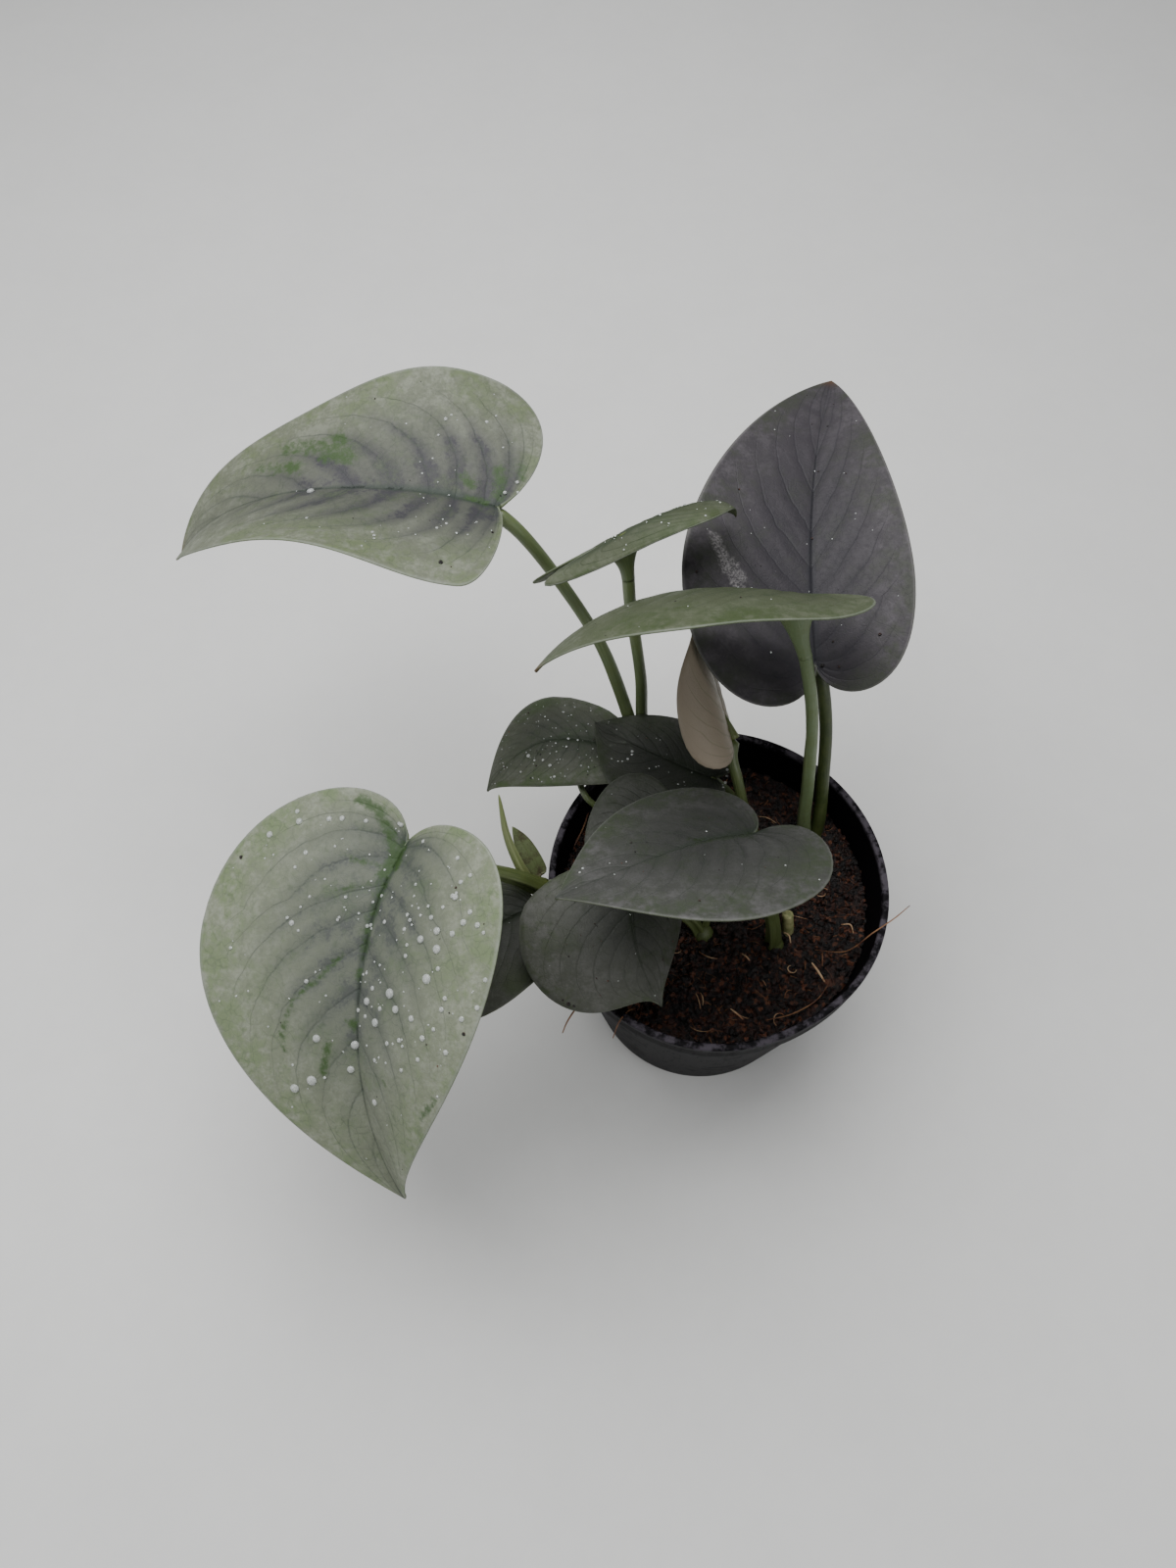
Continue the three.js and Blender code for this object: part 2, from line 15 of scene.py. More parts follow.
import bpy
import numpy as np
from mathutils import Matrix, Vector, noise

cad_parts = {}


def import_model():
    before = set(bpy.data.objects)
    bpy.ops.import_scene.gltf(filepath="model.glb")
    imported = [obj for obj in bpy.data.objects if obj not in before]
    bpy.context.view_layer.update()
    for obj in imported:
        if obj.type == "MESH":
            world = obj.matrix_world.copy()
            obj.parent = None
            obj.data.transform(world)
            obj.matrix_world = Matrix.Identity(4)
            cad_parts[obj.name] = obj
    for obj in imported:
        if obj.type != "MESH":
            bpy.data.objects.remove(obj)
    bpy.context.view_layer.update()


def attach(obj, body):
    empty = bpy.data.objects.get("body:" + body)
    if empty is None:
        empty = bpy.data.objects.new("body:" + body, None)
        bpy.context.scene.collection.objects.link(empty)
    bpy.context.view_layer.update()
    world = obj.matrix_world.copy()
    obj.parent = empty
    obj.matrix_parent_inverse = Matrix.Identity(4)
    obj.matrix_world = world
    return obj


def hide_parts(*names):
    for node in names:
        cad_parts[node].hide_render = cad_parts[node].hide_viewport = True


MM = 0.001
Point = tuple[float, float, float]
Pair = tuple[float, float]
Colour = tuple[float, float, float]
Faces = list[list[int]]
Values = dict[str, np.ndarray]
Shell = tuple[np.ndarray, Faces, Values]
Strand = tuple[tuple[Point, ...], float]
ID, Material, Object = bpy.types.ID, bpy.types.Material, bpy.types.Object
Node, NodeSocket, NodeTree = bpy.types.Node, bpy.types.NodeSocket, bpy.types.NodeTree

# How far a lobe's curve gets towards its control points, and where on the midrib the lobe's rows end
BEZIER_REACH, RIB_START = 0.742, 0.1
# Millimetres: the dimple over the joint, the stalk's depth under it, and the tallest drop or grain
DIMPLE_RADIUS, UNDER_BLADE, TALLEST_BODY = 9, 0.45, 0.62
DEW_SEED = 23

log = logging.getLogger("scindapsus")


class Slot(str, Enum):
    """The record's material slots."""

    POT = "pot_plastic"
    MIX = "potting_mix"
    SILVER = "leaf_silver"
    DUSKY = "leaf_dusky"
    UNDERSIDE = "leaf_underside"
    PETIOLE = "petiole_green"
    SHOOT = "shoot_green"
    SHEATH = "sheath_tan"
    STUB = "stub_tan"


# Node trees


class Tree:
    """A thin wrapper that adds nodes to a node tree and links them."""

    def __init__(self, tree: NodeTree) -> None:
        """Keep the tree.

        Args:
            tree: The shader or geometry node tree to fill.
        """
        self.tree = tree

    def add(self, kind: str, settings: dict | None = None, **inputs: object) -> Node:
        """Add one node.

        Args:
            kind: The node's type name.
            settings: Attributes of the node itself, such as its operation.
            **inputs: Values or output sockets by input name, with _ for a blank, or i0, i1 by place.

        Returns:
            The new node.
        """
        node = self.tree.nodes.new(kind)
        for name, value in (settings or {}).items():
            setattr(node, name, value)
        for name, value in inputs.items():
            self.feed(node, name, value)
        return node

    def feed(self, node: Node, name: str, value: object) -> None:
        """Give an input a value or a link.

        Args:
            node: The node to feed.
            name: The input's name with _ for a blank, or i0, i1 by place.
            value: An output socket, or a plain value.
        """
        by_place = name[0] == "i" and name[1:].isdigit()
        socket = node.inputs[int(name[1:]) if by_place else name.replace("_", " ")]
        if isinstance(value, NodeSocket):
            self.tree.links.new(value, socket)
        else:
            socket.default_value = value

    def maths(self, operation: str, *values: object, clamp: bool = False) -> NodeSocket:
        """Do one sum.

        Args:
            operation: The Math node's operation.
            *values: Its inputs.
            clamp: Whether the result is held between 0 and 1.

        Returns:
            The result.
        """
        settings = {"operation": operation, "use_clamp": clamp}
        return self.add("ShaderNodeMath", settings, **numbered(values)).outputs[0]

    def vector(self, operation: str, *values: object) -> NodeSocket:
        """Do one vector sum.

        Args:
            operation: The Vector Math node's operation.
            *values: Its inputs.

        Returns:
            The result.
        """
        return self.add("ShaderNodeVectorMath", {"operation": operation}, **numbered(values)).outputs[0]

    def times(self, *values: object, clamp: bool = False) -> NodeSocket:
        """Multiply two values."""
        return self.maths("MULTIPLY", *values, clamp=clamp)

    def plus(self, *values: object) -> NodeSocket:
        """Add two values."""
        return self.maths("ADD", *values)

    def minus(self, *values: object) -> NodeSocket:
        """Take the second value from the first."""
        return self.maths("SUBTRACT", *values)

    def times_plus(self, value: object, factor: object, more: object) -> NodeSocket:
        """Multiply a value by a factor and add more to it."""
        return self.maths("MULTIPLY_ADD", value, factor, more)

    def near(self, distance: object, reach: object) -> NodeSocket:
        """Fall from 1 at no distance to 0 at the reach."""
        return self.minus(1.0, self.maths("DIVIDE", distance, reach, clamp=True))

    def scaled(self, vector: object, factor: object) -> NodeSocket:
        """Scale a vector by a factor."""
        return self.add("ShaderNodeVectorMath", {"operation": "SCALE"}, i0=vector, Scale=factor).outputs[0]

    def ramp(self, value: object, low: float, high: float) -> NodeSocket:
        """Turn a value smoothly into 0 at low and 1 at high, which may be the lower one.

        Args:
            value: The value to read.
            low: Where the result is 0.
            high: Where the result is 1.

        Returns:
            The result.
        """
        turned = low > high
        ends = {"i1": min(low, high), "i2": max(low, high), "i3": float(turned), "i4": float(not turned)}
        settings = {"interpolation_type": "SMOOTHSTEP"}
        return self.add("ShaderNodeMapRange", settings, i0=value, **ends).outputs[0]

    def blend(self, share: object, first: object, second: object) -> NodeSocket:
        """Mix two colours.

        Args:
            share: 0 for the first, 1 for the second.
            first: A colour or a socket.
            second: A colour or a socket.

        Returns:
            The mixed colour.
        """
        node = self.add("ShaderNodeMix", {"data_type": "RGBA"}, i0=share)
        for place, value in ((6, first), (7, second)):
            self.feed(node, f"i{place}", (*value, 1) if isinstance(value, tuple) else value)
        return node.outputs[2]

    def coats(self, colour: object, *layers: tuple[object, object, object]) -> NodeSocket:
        """Lay colours over a first one, each where its mask is.

        Args:
            colour: The colour below them all.
            *layers: Each colour on top, its mask, and how much of it shows where the mask is 1.

        Returns:
            The mixed colour.
        """
        for paint, mask, share in layers:
            colour = self.blend(self.times(mask, share, clamp=True), colour, paint)
        return colour

    def noise(self, place: object, scale: object, detail: float = 3, rough: float = 0.55) -> NodeSocket:
        """Read a noise.

        Args:
            place: Where it is read.
            scale: How fine it is.
            detail: How many octaves it has.
            rough: How strong the finer ones are.

        Returns:
            Its value, around 0.5.
        """
        inputs = {"Vector": place, "Scale": scale, "Detail": detail, "Roughness": rough}
        return self.add("ShaderNodeTexNoise", **inputs).outputs[0]

    def swing(
        self, place: object, scale: float, reach: float, detail: float = 3, rough: float = 0.55
    ) -> NodeSocket:
        """Read a noise that swings about 0.

        Args:
            place: Where it is read.
            scale: How fine it is.
            reach: The whole width of its swing.
            detail: How many octaves it has.
            rough: How strong the finer ones are.

        Returns:
            Its value.
        """
        return self.times(self.minus(self.noise(place, scale, detail, rough), 0.5), reach)

    def value(self, name: str) -> NodeSocket:
        """Read a float attribute of the mesh by its name."""
        return self.add("ShaderNodeAttribute", {"attribute_name": name}).outputs[2]

    def place(self) -> NodeSocket:
        """Object coordinates, in metres."""
        return self.add("ShaderNodeTexCoord").outputs["Object"]

    def named(self, name: str, kind: str = "FLOAT") -> NodeSocket:
        """Read a mesh attribute by its name in a geometry tree."""
        return self.add("GeometryNodeInputNamedAttribute", {"data_type": kind}, Name=name).outputs[0]


def numbered(values: Iterable[object]) -> dict[str, object]:
    """Name values by the place of their input."""
    return {f"i{place}": value for place, value in enumerate(values)}


def new_group(
    name: str, kind: str, inputs: dict[str, object], outputs: Sequence[str]
) -> tuple[Tree, dict[str, NodeSocket], Node]:
    """Start a node group with named inputs and outputs.

    Args:
        name: The group's name.
        kind: The tree's type name.
        inputs: Each input's name and default: a number, an int, or the word of its socket type.
        outputs: The outputs' names. A geometry group's outputs are geometry, a shader group's floats.

    Returns:
        The tree, its inputs' sockets by name, and the output node.
    """
    group = bpy.data.node_groups.new(name, kind)
    for label, default in inputs.items():
        word = {float: "Float", int: "Int"}.get(type(default), default)
        socket = group.interface.new_socket(name=label, in_out="INPUT", socket_type=f"NodeSocket{word}")
        if isinstance(default, (int, float)):
            socket.default_value = default
    out_kind = "NodeSocketGeometry" if kind == "GeometryNodeTree" else "NodeSocketFloat"
    for label in outputs:
        group.interface.new_socket(name=label, in_out="OUTPUT", socket_type=out_kind)
    tree = Tree(group)
    source = tree.add("NodeGroupInput")
    return tree, {label: source.outputs[label] for label in inputs}, tree.add("NodeGroupOutput")


# Shared shader effects


class Effect(Enum):
    """Shader node groups that several finishes use."""

    MOTTLE = "mottle"
    VEINS = "veins"
    NETWORK = "network"
    SKIN = "skin"


def build_mottle() -> NodeTree:
    """Clouded patches in two sizes, as a mask.

    Returns:
        The node group.
    """
    inputs = {"Vector": "Vector", "Scale": 90.0, "Low": 0.4, "High": 0.65}
    tree, given, out = new_group(Effect.MOTTLE.value, "ShaderNodeTree", inputs, ["Mask"])
    broad = tree.noise(given["Vector"], given["Scale"], 3, 0.5)
    fine = tree.noise(given["Vector"], tree.times(given["Scale"], 5.3), 2, 0.5)
    both = tree.times_plus(fine, 0.35, tree.times(broad, 0.65))
    smooth = {"interpolation_type": "SMOOTHSTEP"}
    mask = tree.add("ShaderNodeMapRange", smooth, i0=both, i1=given["Low"], i2=given["High"])
    tree.feed(out, "Mask", mask.outputs[0])
    return tree.tree


def build_veins() -> NodeTree:
    """The blade's arching side veins: a thin line mask and a wide soft halo.

    Returns:
        The node group.
    """
    inputs = {"Vector": "Vector", "Width": 0.35, "Halo": 3.0}
    tree, given, out = new_group(Effect.VEINS.value, "ShaderNodeTree", inputs, ["Line", "Halo"])
    margin = tree.value("margin")
    phase = tree.plus(tree.value("vein"), tree.swing(given["Vector"], 160, 0.28, 2))
    off = tree.maths("ABSOLUTE", tree.minus(tree.maths("FRACT", phase), 0.5))
    distance = tree.times(off, tree.value("reach"))
    width = tree.times(given["Width"], tree.times_plus(tree.ramp(margin, 1.0, 0.2), 0.7, 0.3))
    tree.feed(out, "Line", tree.times(tree.near(distance, width), tree.ramp(margin, 0.98, 0.7)))
    tree.feed(out, "Halo", tree.times(tree.near(distance, given["Halo"]), tree.ramp(margin, 0.95, 0.3)))
    return tree.tree


def build_network() -> NodeTree:
    """The fine net of small veins between the side veins.

    Returns:
        The node group.
    """
    inputs = {"Vector": "Vector", "Scale": 260.0, "Width": 0.06}
    tree, given, out = new_group(Effect.NETWORK.value, "ShaderNodeTree", inputs, ["Line"])
    wander = tree.add("ShaderNodeTexNoise", Vector=given["Vector"], Scale=500.0, Detail=1.0).outputs[1]
    moved = tree.vector("ADD", given["Vector"], tree.scaled(wander, 0.0022))
    edges = {"feature": "DISTANCE_TO_EDGE"}
    cells = tree.add("ShaderNodeTexVoronoi", edges, Vector=moved, Scale=given["Scale"])
    tree.feed(out, "Line", tree.near(cells.outputs["Distance"], given["Width"]))
    return tree.tree


def build_skin() -> NodeTree:
    """The fine grain of plant skin or moulded plastic, as a height.

    Returns:
        The node group.
    """
    inputs = {"Vector": "Vector", "Scale": 2600.0, "Broad": 400.0}
    tree, given, out = new_group(Effect.SKIN.value, "ShaderNodeTree", inputs, ["Height"])
    cells = tree.add("ShaderNodeTexVoronoi", Vector=given["Vector"], Scale=given["Scale"])
    swell = tree.noise(given["Vector"], given["Broad"], 2, 0.5)
    tree.feed(out, "Height", tree.times_plus(swell, 1.4, tree.times(cells.outputs[0], 0.5)))
    return tree.tree


BUILDERS: dict[Effect, Callable[[], NodeTree]] = {
    Effect.MOTTLE: build_mottle,
    Effect.VEINS: build_veins,
    Effect.NETWORK: build_network,
    Effect.SKIN: build_skin,
}


def effect(tree: Tree, kind: Effect, **inputs: object) -> Node:
    """Place a shared effect in a material, which builds it at its first use.

    Args:
        tree: The material's tree.
        kind: Which effect.
        **inputs: The group's inputs.

    Returns:
        The group node.
    """
    group = bpy.data.node_groups.get(kind.value) or BUILDERS[kind]()
    return tree.add("ShaderNodeGroup", {"node_tree": group}, **inputs)


def clouds(tree: Tree, place: object, scale: float, low: float, high: float) -> NodeSocket:
    """Read the shared mottle.

    Args:
        tree: The material's tree.
        place: Where it is read.
        scale: How fine it is.
        low: The noise below which the mask is 0.
        high: The noise above which it is 1.

    Returns:
        The mask.
    """
    return effect(tree, Effect.MOTTLE, Vector=place, Scale=scale, Low=low, High=high).outputs[0]


def grained(tree: Tree, place: object, scale: float, broad: float) -> NodeSocket:
    """Read the shared skin grain.

    Args:
        tree: The material's tree.
        place: Where it is read.
        scale: How fine its cells are.
        broad: How fine its swell is.

    Returns:
        The height.
    """
    return effect(tree, Effect.SKIN, Vector=place, Scale=scale, Broad=broad).outputs[0]


# Finishes


@dataclass(frozen=True)
class Finish:
    """A named procedural material."""

    name: str

    def build(self) -> Material:
        """Make the material, or give the one already made.

        Returns:
            The material.
        """
        known = bpy.data.materials.get(self.name)
        if known:
            return known
        made = bpy.data.materials.new(self.name)
        made.use_nodes = True
        tree = Tree(made.node_tree)
        self.paint(tree, made.node_tree.nodes["Principled BSDF"])
        return made

    def paint(self, tree: Tree, shader: Node) -> None:
        """Fill the material's nodes.

        Args:
            tree: The material's tree.
            shader: Its Principled shader.
        """
        raise NotImplementedError


def relief(tree: Tree, shader: Node, height: object, depth: float, strength: float = 1.0) -> None:
    """Feed a height to the shader's normal.

    Args:
        tree: The material's tree.
        shader: Its Principled shader.
        height: The height mask.
        depth: Its depth in millimetres.
        strength: The bump's strength.
    """
    bump = tree.add("ShaderNodeBump", Strength=strength, Distance=depth * MM, Height=height)
    tree.feed(shader, "Normal", bump.outputs[0])


@dataclass(frozen=True)
class BladeFinish(Finish):
    """The leaf blade: silver bloom over green, dusky along the ribs, paler below.

    A cover is how much of a colour shows where its mask is full.
    """

    silver: Colour = (0.112, 0.122, 0.088)
    dusk: Colour = (0.040, 0.039, 0.044)
    bloom: Colour = (0.185, 0.197, 0.155)
    green: Colour = (0.098, 0.128, 0.060)
    rib: Colour = (0.032, 0.042, 0.034)
    wash: Colour = (0.030, 0.060, 0.016)
    # Pale colour for wet patches and for the margin's very edge: painted highlight
    glare: Colour = (0.30, 0.32, 0.30)
    under: Colour = (0.12, 0.15, 0.075)
    brown: Colour = (0.09, 0.045, 0.018)
    veining: float = 0.7
    edge_cover: float = 0.85
    patch_cover: float = 0.35
    bloom_cover: float = 0.8
    freckle_cover: float = 0.14
    wash_cover: float = 0.85
    glare_cover: float = 0.8
    # How strongly the painted highlight along the margin's very edge shows
    edge_glare_cover: float = 0.22
    gloss: float = 0.5
    sheen: float = 0.18
    vein_depth: float = 1.6
    net_depth: float = 0.5

    def paint(self, tree: Tree, shader: Node) -> None:
        """Fill the material's nodes.

        Args:
            tree: The material's tree.
            shader: Its Principled shader.
        """
        place, margin, scorch = tree.place(), tree.value("margin"), tree.value("scorch")
        mottle = clouds(tree, place, scale=95.0, low=0.42, high=0.62)
        cloud = clouds(tree, place, scale=260.0, low=0.40, high=0.64)
        freckle = clouds(tree, place, scale=900.0, low=0.45, high=0.6)
        veins = effect(tree, Effect.VEINS, Vector=place, Width=0.42, Halo=3.2)
        line = veins.outputs["Line"]
        net = effect(tree, Effect.NETWORK, Vector=place, Scale=300.0, Width=0.06).outputs[0]
        back = tree.ramp(tree.value("along"), 1.0, 0.0)

        # Where the silver turns dusky: along the ribs, and less so towards the tip
        near_rib = tree.times(tree.ramp(margin, 0.95, 0.0), 0.95)
        dusk = tree.times_plus(veins.outputs["Halo"], self.veining, near_rib)
        dusk = tree.times(dusk, tree.times_plus(tree.ramp(back, 0.0, 0.7), 0.75, 0.25))
        dusk = tree.times(dusk, tree.times_plus(cloud, 0.45, 0.62), clamp=True)

        # Green edge and patches, the bloom between them, and the ribs
        edge = tree.times(tree.ramp(margin, 0.45, 1.0), tree.times_plus(mottle, 0.75, 0.1))
        clear = tree.times(tree.minus(1.0, dusk), tree.minus(1.0, mottle))
        wide = tree.times_plus(tree.maths("POWER", back, 2.5), 2.1, 0.35)
        midrib = tree.ramp(tree.near(tree.maths("ABSOLUTE", tree.value("across")), wide), 0.0, 0.8)

        # Rubbed green patches, and pale patches where water lies, which are painted highlight; both ragged
        rubbed = tree.minus(tree.swing(place, 620, 1.7, 4, 0.65), tree.times(net, 0.12))
        rubbed = tree.ramp(tree.plus(tree.value("wash"), rubbed), 0.22, 0.95)
        # Pale patches where water lies: painted highlight
        glare_patch = tree.ramp(tree.plus(tree.value("glare"), tree.swing(place, 700, 1.2)), 0.4, 0.85)
        glare_patch = tree.times(glare_patch, tree.ramp(tree.noise(place, 1500, 4, 0.7), 0.36, 0.66))

        above = tree.coats(
            self.silver,
            (self.dusk, dusk, 1.0),
            (self.green, edge, self.edge_cover),
            (self.green, tree.times(mottle, cloud), self.patch_cover),
            (self.bloom, tree.times(clear, cloud), self.bloom_cover),
            (self.dusk, freckle, self.freckle_cover),
            (self.rib, net, tree.times_plus(mottle, 0.22, 0.06)),
            (self.rib, line, tree.times_plus(cloud, 0.4, 0.12)),
            (self.rib, midrib, tree.times_plus(back, 0.5, 0.35)),
            (self.wash, rubbed, self.wash_cover),
            # A thin pale line at the margin's very edge: painted highlight
            (self.glare, tree.ramp(margin, 0.975, 0.995), self.edge_glare_cover),
            (self.glare, glare_patch, self.glare_cover),
            (self.brown, scorch, 1.0),
        )
        below = tree.coats(
            self.under, (self.silver, mottle, 0.25), (self.green, line, 0.35), (self.brown, scorch, 0.8)
        )
        tree.feed(shader, "Base Color", tree.blend(tree.value("under"), above, below))
        tree.feed(shader, "Roughness", tree.times_plus(freckle, 0.08, self.gloss))
        tree.feed(shader, "Specular IOR Level", self.sheen)
        skin = grained(tree, place, scale=2400.0, broad=500.0)
        height = tree.minus(skin, tree.times(line, self.vein_depth))
        relief(tree, shader, tree.minus(height, tree.times(net, self.net_depth)), 0.05, 0.8)


@dataclass(frozen=True)
class StalkFinish(Finish):
    """Green stalk skin with long pale streaks, browner at the foot."""

    main: Colour = (0.050, 0.070, 0.022)
    pale: Colour = (0.115, 0.140, 0.058)
    foot: Colour = (0.085, 0.105, 0.022)
    soft: Colour = (0.125, 0.170, 0.085)
    deep: Colour = (0.016, 0.027, 0.005)
    toning: float = 0.85
    gloss: float = 0.38

    def paint(self, tree: Tree, shader: Node) -> None:
        """Fill the material's nodes.

        Args:
            tree: The material's tree.
            shader: Its Principled shader.
        """
        place = tree.place()
        mottle = clouds(tree, place, scale=260.0, low=0.4, high=0.65)
        around = tree.times(tree.value("around"), 9.0)
        along = tree.times(tree.value("length"), 0.06)
        lines = tree.add("ShaderNodeCombineXYZ", i0=around, i1=along).outputs[0]
        streak = tree.ramp(tree.noise(lines, 1.6, 3), 0.42, 0.68)
        tone = tree.value("tone")
        colour = tree.coats(
            self.main,
            (self.pale, streak, 0.55),
            (self.soft, tone, self.toning),
            (self.deep, tone, -self.toning),
            (self.foot, mottle, 0.3),
            (self.pale, tree.value("ridge"), 0.6),
            (self.foot, tree.value("foot"), 0.8),
        )
        tree.feed(shader, "Base Color", colour)
        tree.feed(shader, "Roughness", tree.times_plus(mottle, 0.12, self.gloss))
        skin = grained(tree, place, scale=2200.0, broad=700.0)
        relief(tree, shader, tree.times_plus(streak, 1.2, skin), 0.04, 0.7)


@dataclass(frozen=True)
class PotFinish(Finish):
    """Thin black blow-moulded plastic with a dusty, scuffed skin and a painted highlight along the top of the
    rim.
    """

    black: Colour = (0.0030, 0.0028, 0.0036)
    dust: Colour = (0.045, 0.034, 0.028)
    # A pale purple-grey band along the top of the rim: painted highlight
    rim_highlight: Colour = (0.075, 0.066, 0.080)
    rim_highlight_heights: Pair = (76.2, 77.8)
    rim_highlight_cover: float = 0.75
    roughness: float = 0.5
    sheen: float = 0.05

    def paint(self, tree: Tree, shader: Node) -> None:
        """Fill the material's nodes.

        Args:
            tree: The material's tree.
            shader: Its Principled shader.
        """
        place = tree.place()
        dusty = clouds(tree, place, scale=60.0, low=0.5, high=0.72)
        specks = tree.ramp(tree.noise(place, 2200, 1), 0.66, 0.72)
        dust = tree.plus(tree.times(dusty, 0.04), tree.times(specks, 0.12))
        height = tree.add("ShaderNodeSeparateXYZ", i0=place).outputs[2]
        # Painted highlight on the rim top, broken up by noise
        rim = tree.ramp(height, *(limit * MM for limit in self.rim_highlight_heights))
        rim_highlight = tree.times(rim, tree.ramp(tree.noise(place, 330, 4, 0.7), 0.42, 0.62))
        colour = tree.coats(self.black, (self.dust, dust, 1.0), (self.rim_highlight, rim_highlight, self.rim_highlight_cover))
        tree.feed(shader, "Base Color", colour)
        scuffs = tree.vector("MULTIPLY", place, (1.0, 1.0, 0.16))
        scuff = tree.ramp(tree.noise(scuffs, 900, 2), 0.56, 0.66)
        rough = tree.times_plus(dusty, 0.12, self.roughness)
        tree.feed(shader, "Roughness", tree.times_plus(scuff, 0.06, rough))
        tree.feed(shader, "Specular IOR Level", self.sheen)
        relief(tree, shader, grained(tree, place, scale=1500.0, broad=120.0), 0.04, 0.5)


@dataclass(frozen=True)
class MixFinish(Finish):
    """Damp coir and bark crumbs, red-brown to near black."""

    dark: Colour = (0.0025, 0.0012, 0.0010)
    red: Colour = (0.036, 0.0095, 0.0048)
    light: Colour = (0.23, 0.078, 0.034)
    bright: float = 0.5

    def paint(self, tree: Tree, shader: Node) -> None:
        """Fill the material's nodes.

        Args:
            tree: The material's tree.
            shader: Its Principled shader.
        """
        place = tree.place()
        patch = clouds(tree, place, scale=200.0, low=0.36, high=0.62)
        cells = tree.add("ShaderNodeTexVoronoi", Vector=place, Scale=950.0)
        tones = tree.add("ShaderNodeSeparateColor", i0=cells.outputs["Color"]).outputs
        red = tree.times(tree.times_plus(patch, 0.7, 0.3), tree.ramp(tones[1], 0.35, 1.0))
        light = tree.maths("POWER", tree.ramp(tones[0], 0.78, 1.0), 1.3)
        colour = tree.coats(self.dark, (self.red, red, 1.0), (self.light, light, self.bright))
        tree.feed(shader, "Base Color", colour)
        tree.feed(shader, "Roughness", tree.times_plus(tree.noise(place, 700, 2), 0.5, 0.2))
        relief(tree, shader, tree.noise(place, 1900, 4, 0.75), 0.5, 1.0)


@dataclass(frozen=True)
class FibreFinish(Finish):
    """Dry coir fibre, straw to rust."""

    straw: Colour = (0.20, 0.095, 0.04)
    rust: Colour = (0.075, 0.024, 0.010)

    def paint(self, tree: Tree, shader: Node) -> None:
        """Fill the material's nodes.

        Args:
            tree: The material's tree.
            shader: Its Principled shader.
        """
        place = tree.place()
        mottle = clouds(tree, place, scale=120.0, low=0.42, high=0.58)
        tree.feed(shader, "Base Color", tree.blend(mottle, self.rust, self.straw))
        tree.feed(shader, "Roughness", tree.times_plus(mottle, 0.2, 0.5))
        relief(tree, shader, tree.noise(place, 5000, 2), 0.03, 0.6)


@dataclass(frozen=True)
class DryFinish(Finish):
    """Dry papery sheath or cut stalk."""

    pale: Colour = (0.105, 0.135, 0.052)
    dark: Colour = (0.058, 0.05, 0.022)

    def paint(self, tree: Tree, shader: Node) -> None:
        """Fill the material's nodes.

        Args:
            tree: The material's tree.
            shader: Its Principled shader.
        """
        place = tree.place()
        mottle = clouds(tree, place, scale=420.0, low=0.4, high=0.68)
        tree.feed(shader, "Base Color", tree.blend(mottle, self.pale, self.dark))
        tree.feed(shader, "Roughness", tree.times_plus(mottle, 0.2, 0.55))
        relief(tree, shader, grained(tree, place, scale=1800.0, broad=700.0), 0.08, 0.8)


@dataclass(frozen=True)
class WaterFinish(Finish):
    """Water beads, clear in part and otherwise a diffuse near white that stands in for their bright
    reflections: painted highlight.
    """

    dull: Colour = (0.82, 0.86, 0.84)
    clear: Colour = (0.93, 0.95, 0.94)
    roughness: float = 0.1
    bending: float = 1.33
    clearness: float = 0.7

    def paint(self, tree: Tree, shader: Node) -> None:
        """Fill the material's nodes.

        Args:
            tree: The material's tree.
            shader: Its Principled shader.
        """
        mask = clouds(tree, tree.place(), scale=700.0, low=0.3, high=0.7)
        # The share that is not clear is near white: painted highlight
        tree.feed(shader, "Base Color", tree.blend(mask, self.dull, self.clear))
        tree.feed(shader, "Roughness", self.roughness)
        tree.feed(shader, "IOR", self.bending)
        tree.feed(shader, "Transmission Weight", self.clearness)


@dataclass(frozen=True)
class FloorFinish(Finish):
    """Plain pale studio paper."""

    dull: Colour = (0.60, 0.60, 0.59)
    pale: Colour = (0.62, 0.62, 0.61)
    roughness: float = 0.9

    def paint(self, tree: Tree, shader: Node) -> None:
        """Fill the material's nodes.

        Args:
            tree: The material's tree.
            shader: Its Principled shader.
        """
        grain = clouds(tree, tree.place(), scale=30.0, low=0.3, high=0.7)
        tree.feed(shader, "Base Color", tree.blend(grain, self.dull, self.pale))
        tree.feed(shader, "Roughness", self.roughness)


SILVER = BladeFinish("silver_blade")
PALE_SILVER = BladeFinish(
    "pale_silver_blade", silver=(0.152, 0.168, 0.119), dusk=(0.064, 0.070, 0.064), veining=0.42,
    bloom=(0.225, 0.240, 0.190), green=(0.118, 0.160, 0.076),
)
# A darker, greyer copy of the silver blade for the front leaf: partly its own colour, partly painted shade
DUSKY = BladeFinish(
    "dusky_blade", silver=(0.043, 0.044, 0.040), dusk=(0.028, 0.029, 0.027), veining=0.4,
    bloom=(0.080, 0.078, 0.078), green=(0.036, 0.048, 0.025), rib=(0.022, 0.028, 0.021),
    wash=(0.016, 0.026, 0.009), glare=(0.16, 0.165, 0.15), under=(0.075, 0.092, 0.046),
)
OLIVE = BladeFinish(
    "olive_blade", silver=(0.068, 0.073, 0.054), dusk=(0.046, 0.050, 0.042), veining=0.35,
    bloom=(0.105, 0.110, 0.092), green=(0.046, 0.074, 0.024), rib=(0.022, 0.030, 0.018),
    wash=(0.016, 0.034, 0.009), glare=(0.16, 0.165, 0.15), under=(0.075, 0.092, 0.046),
)
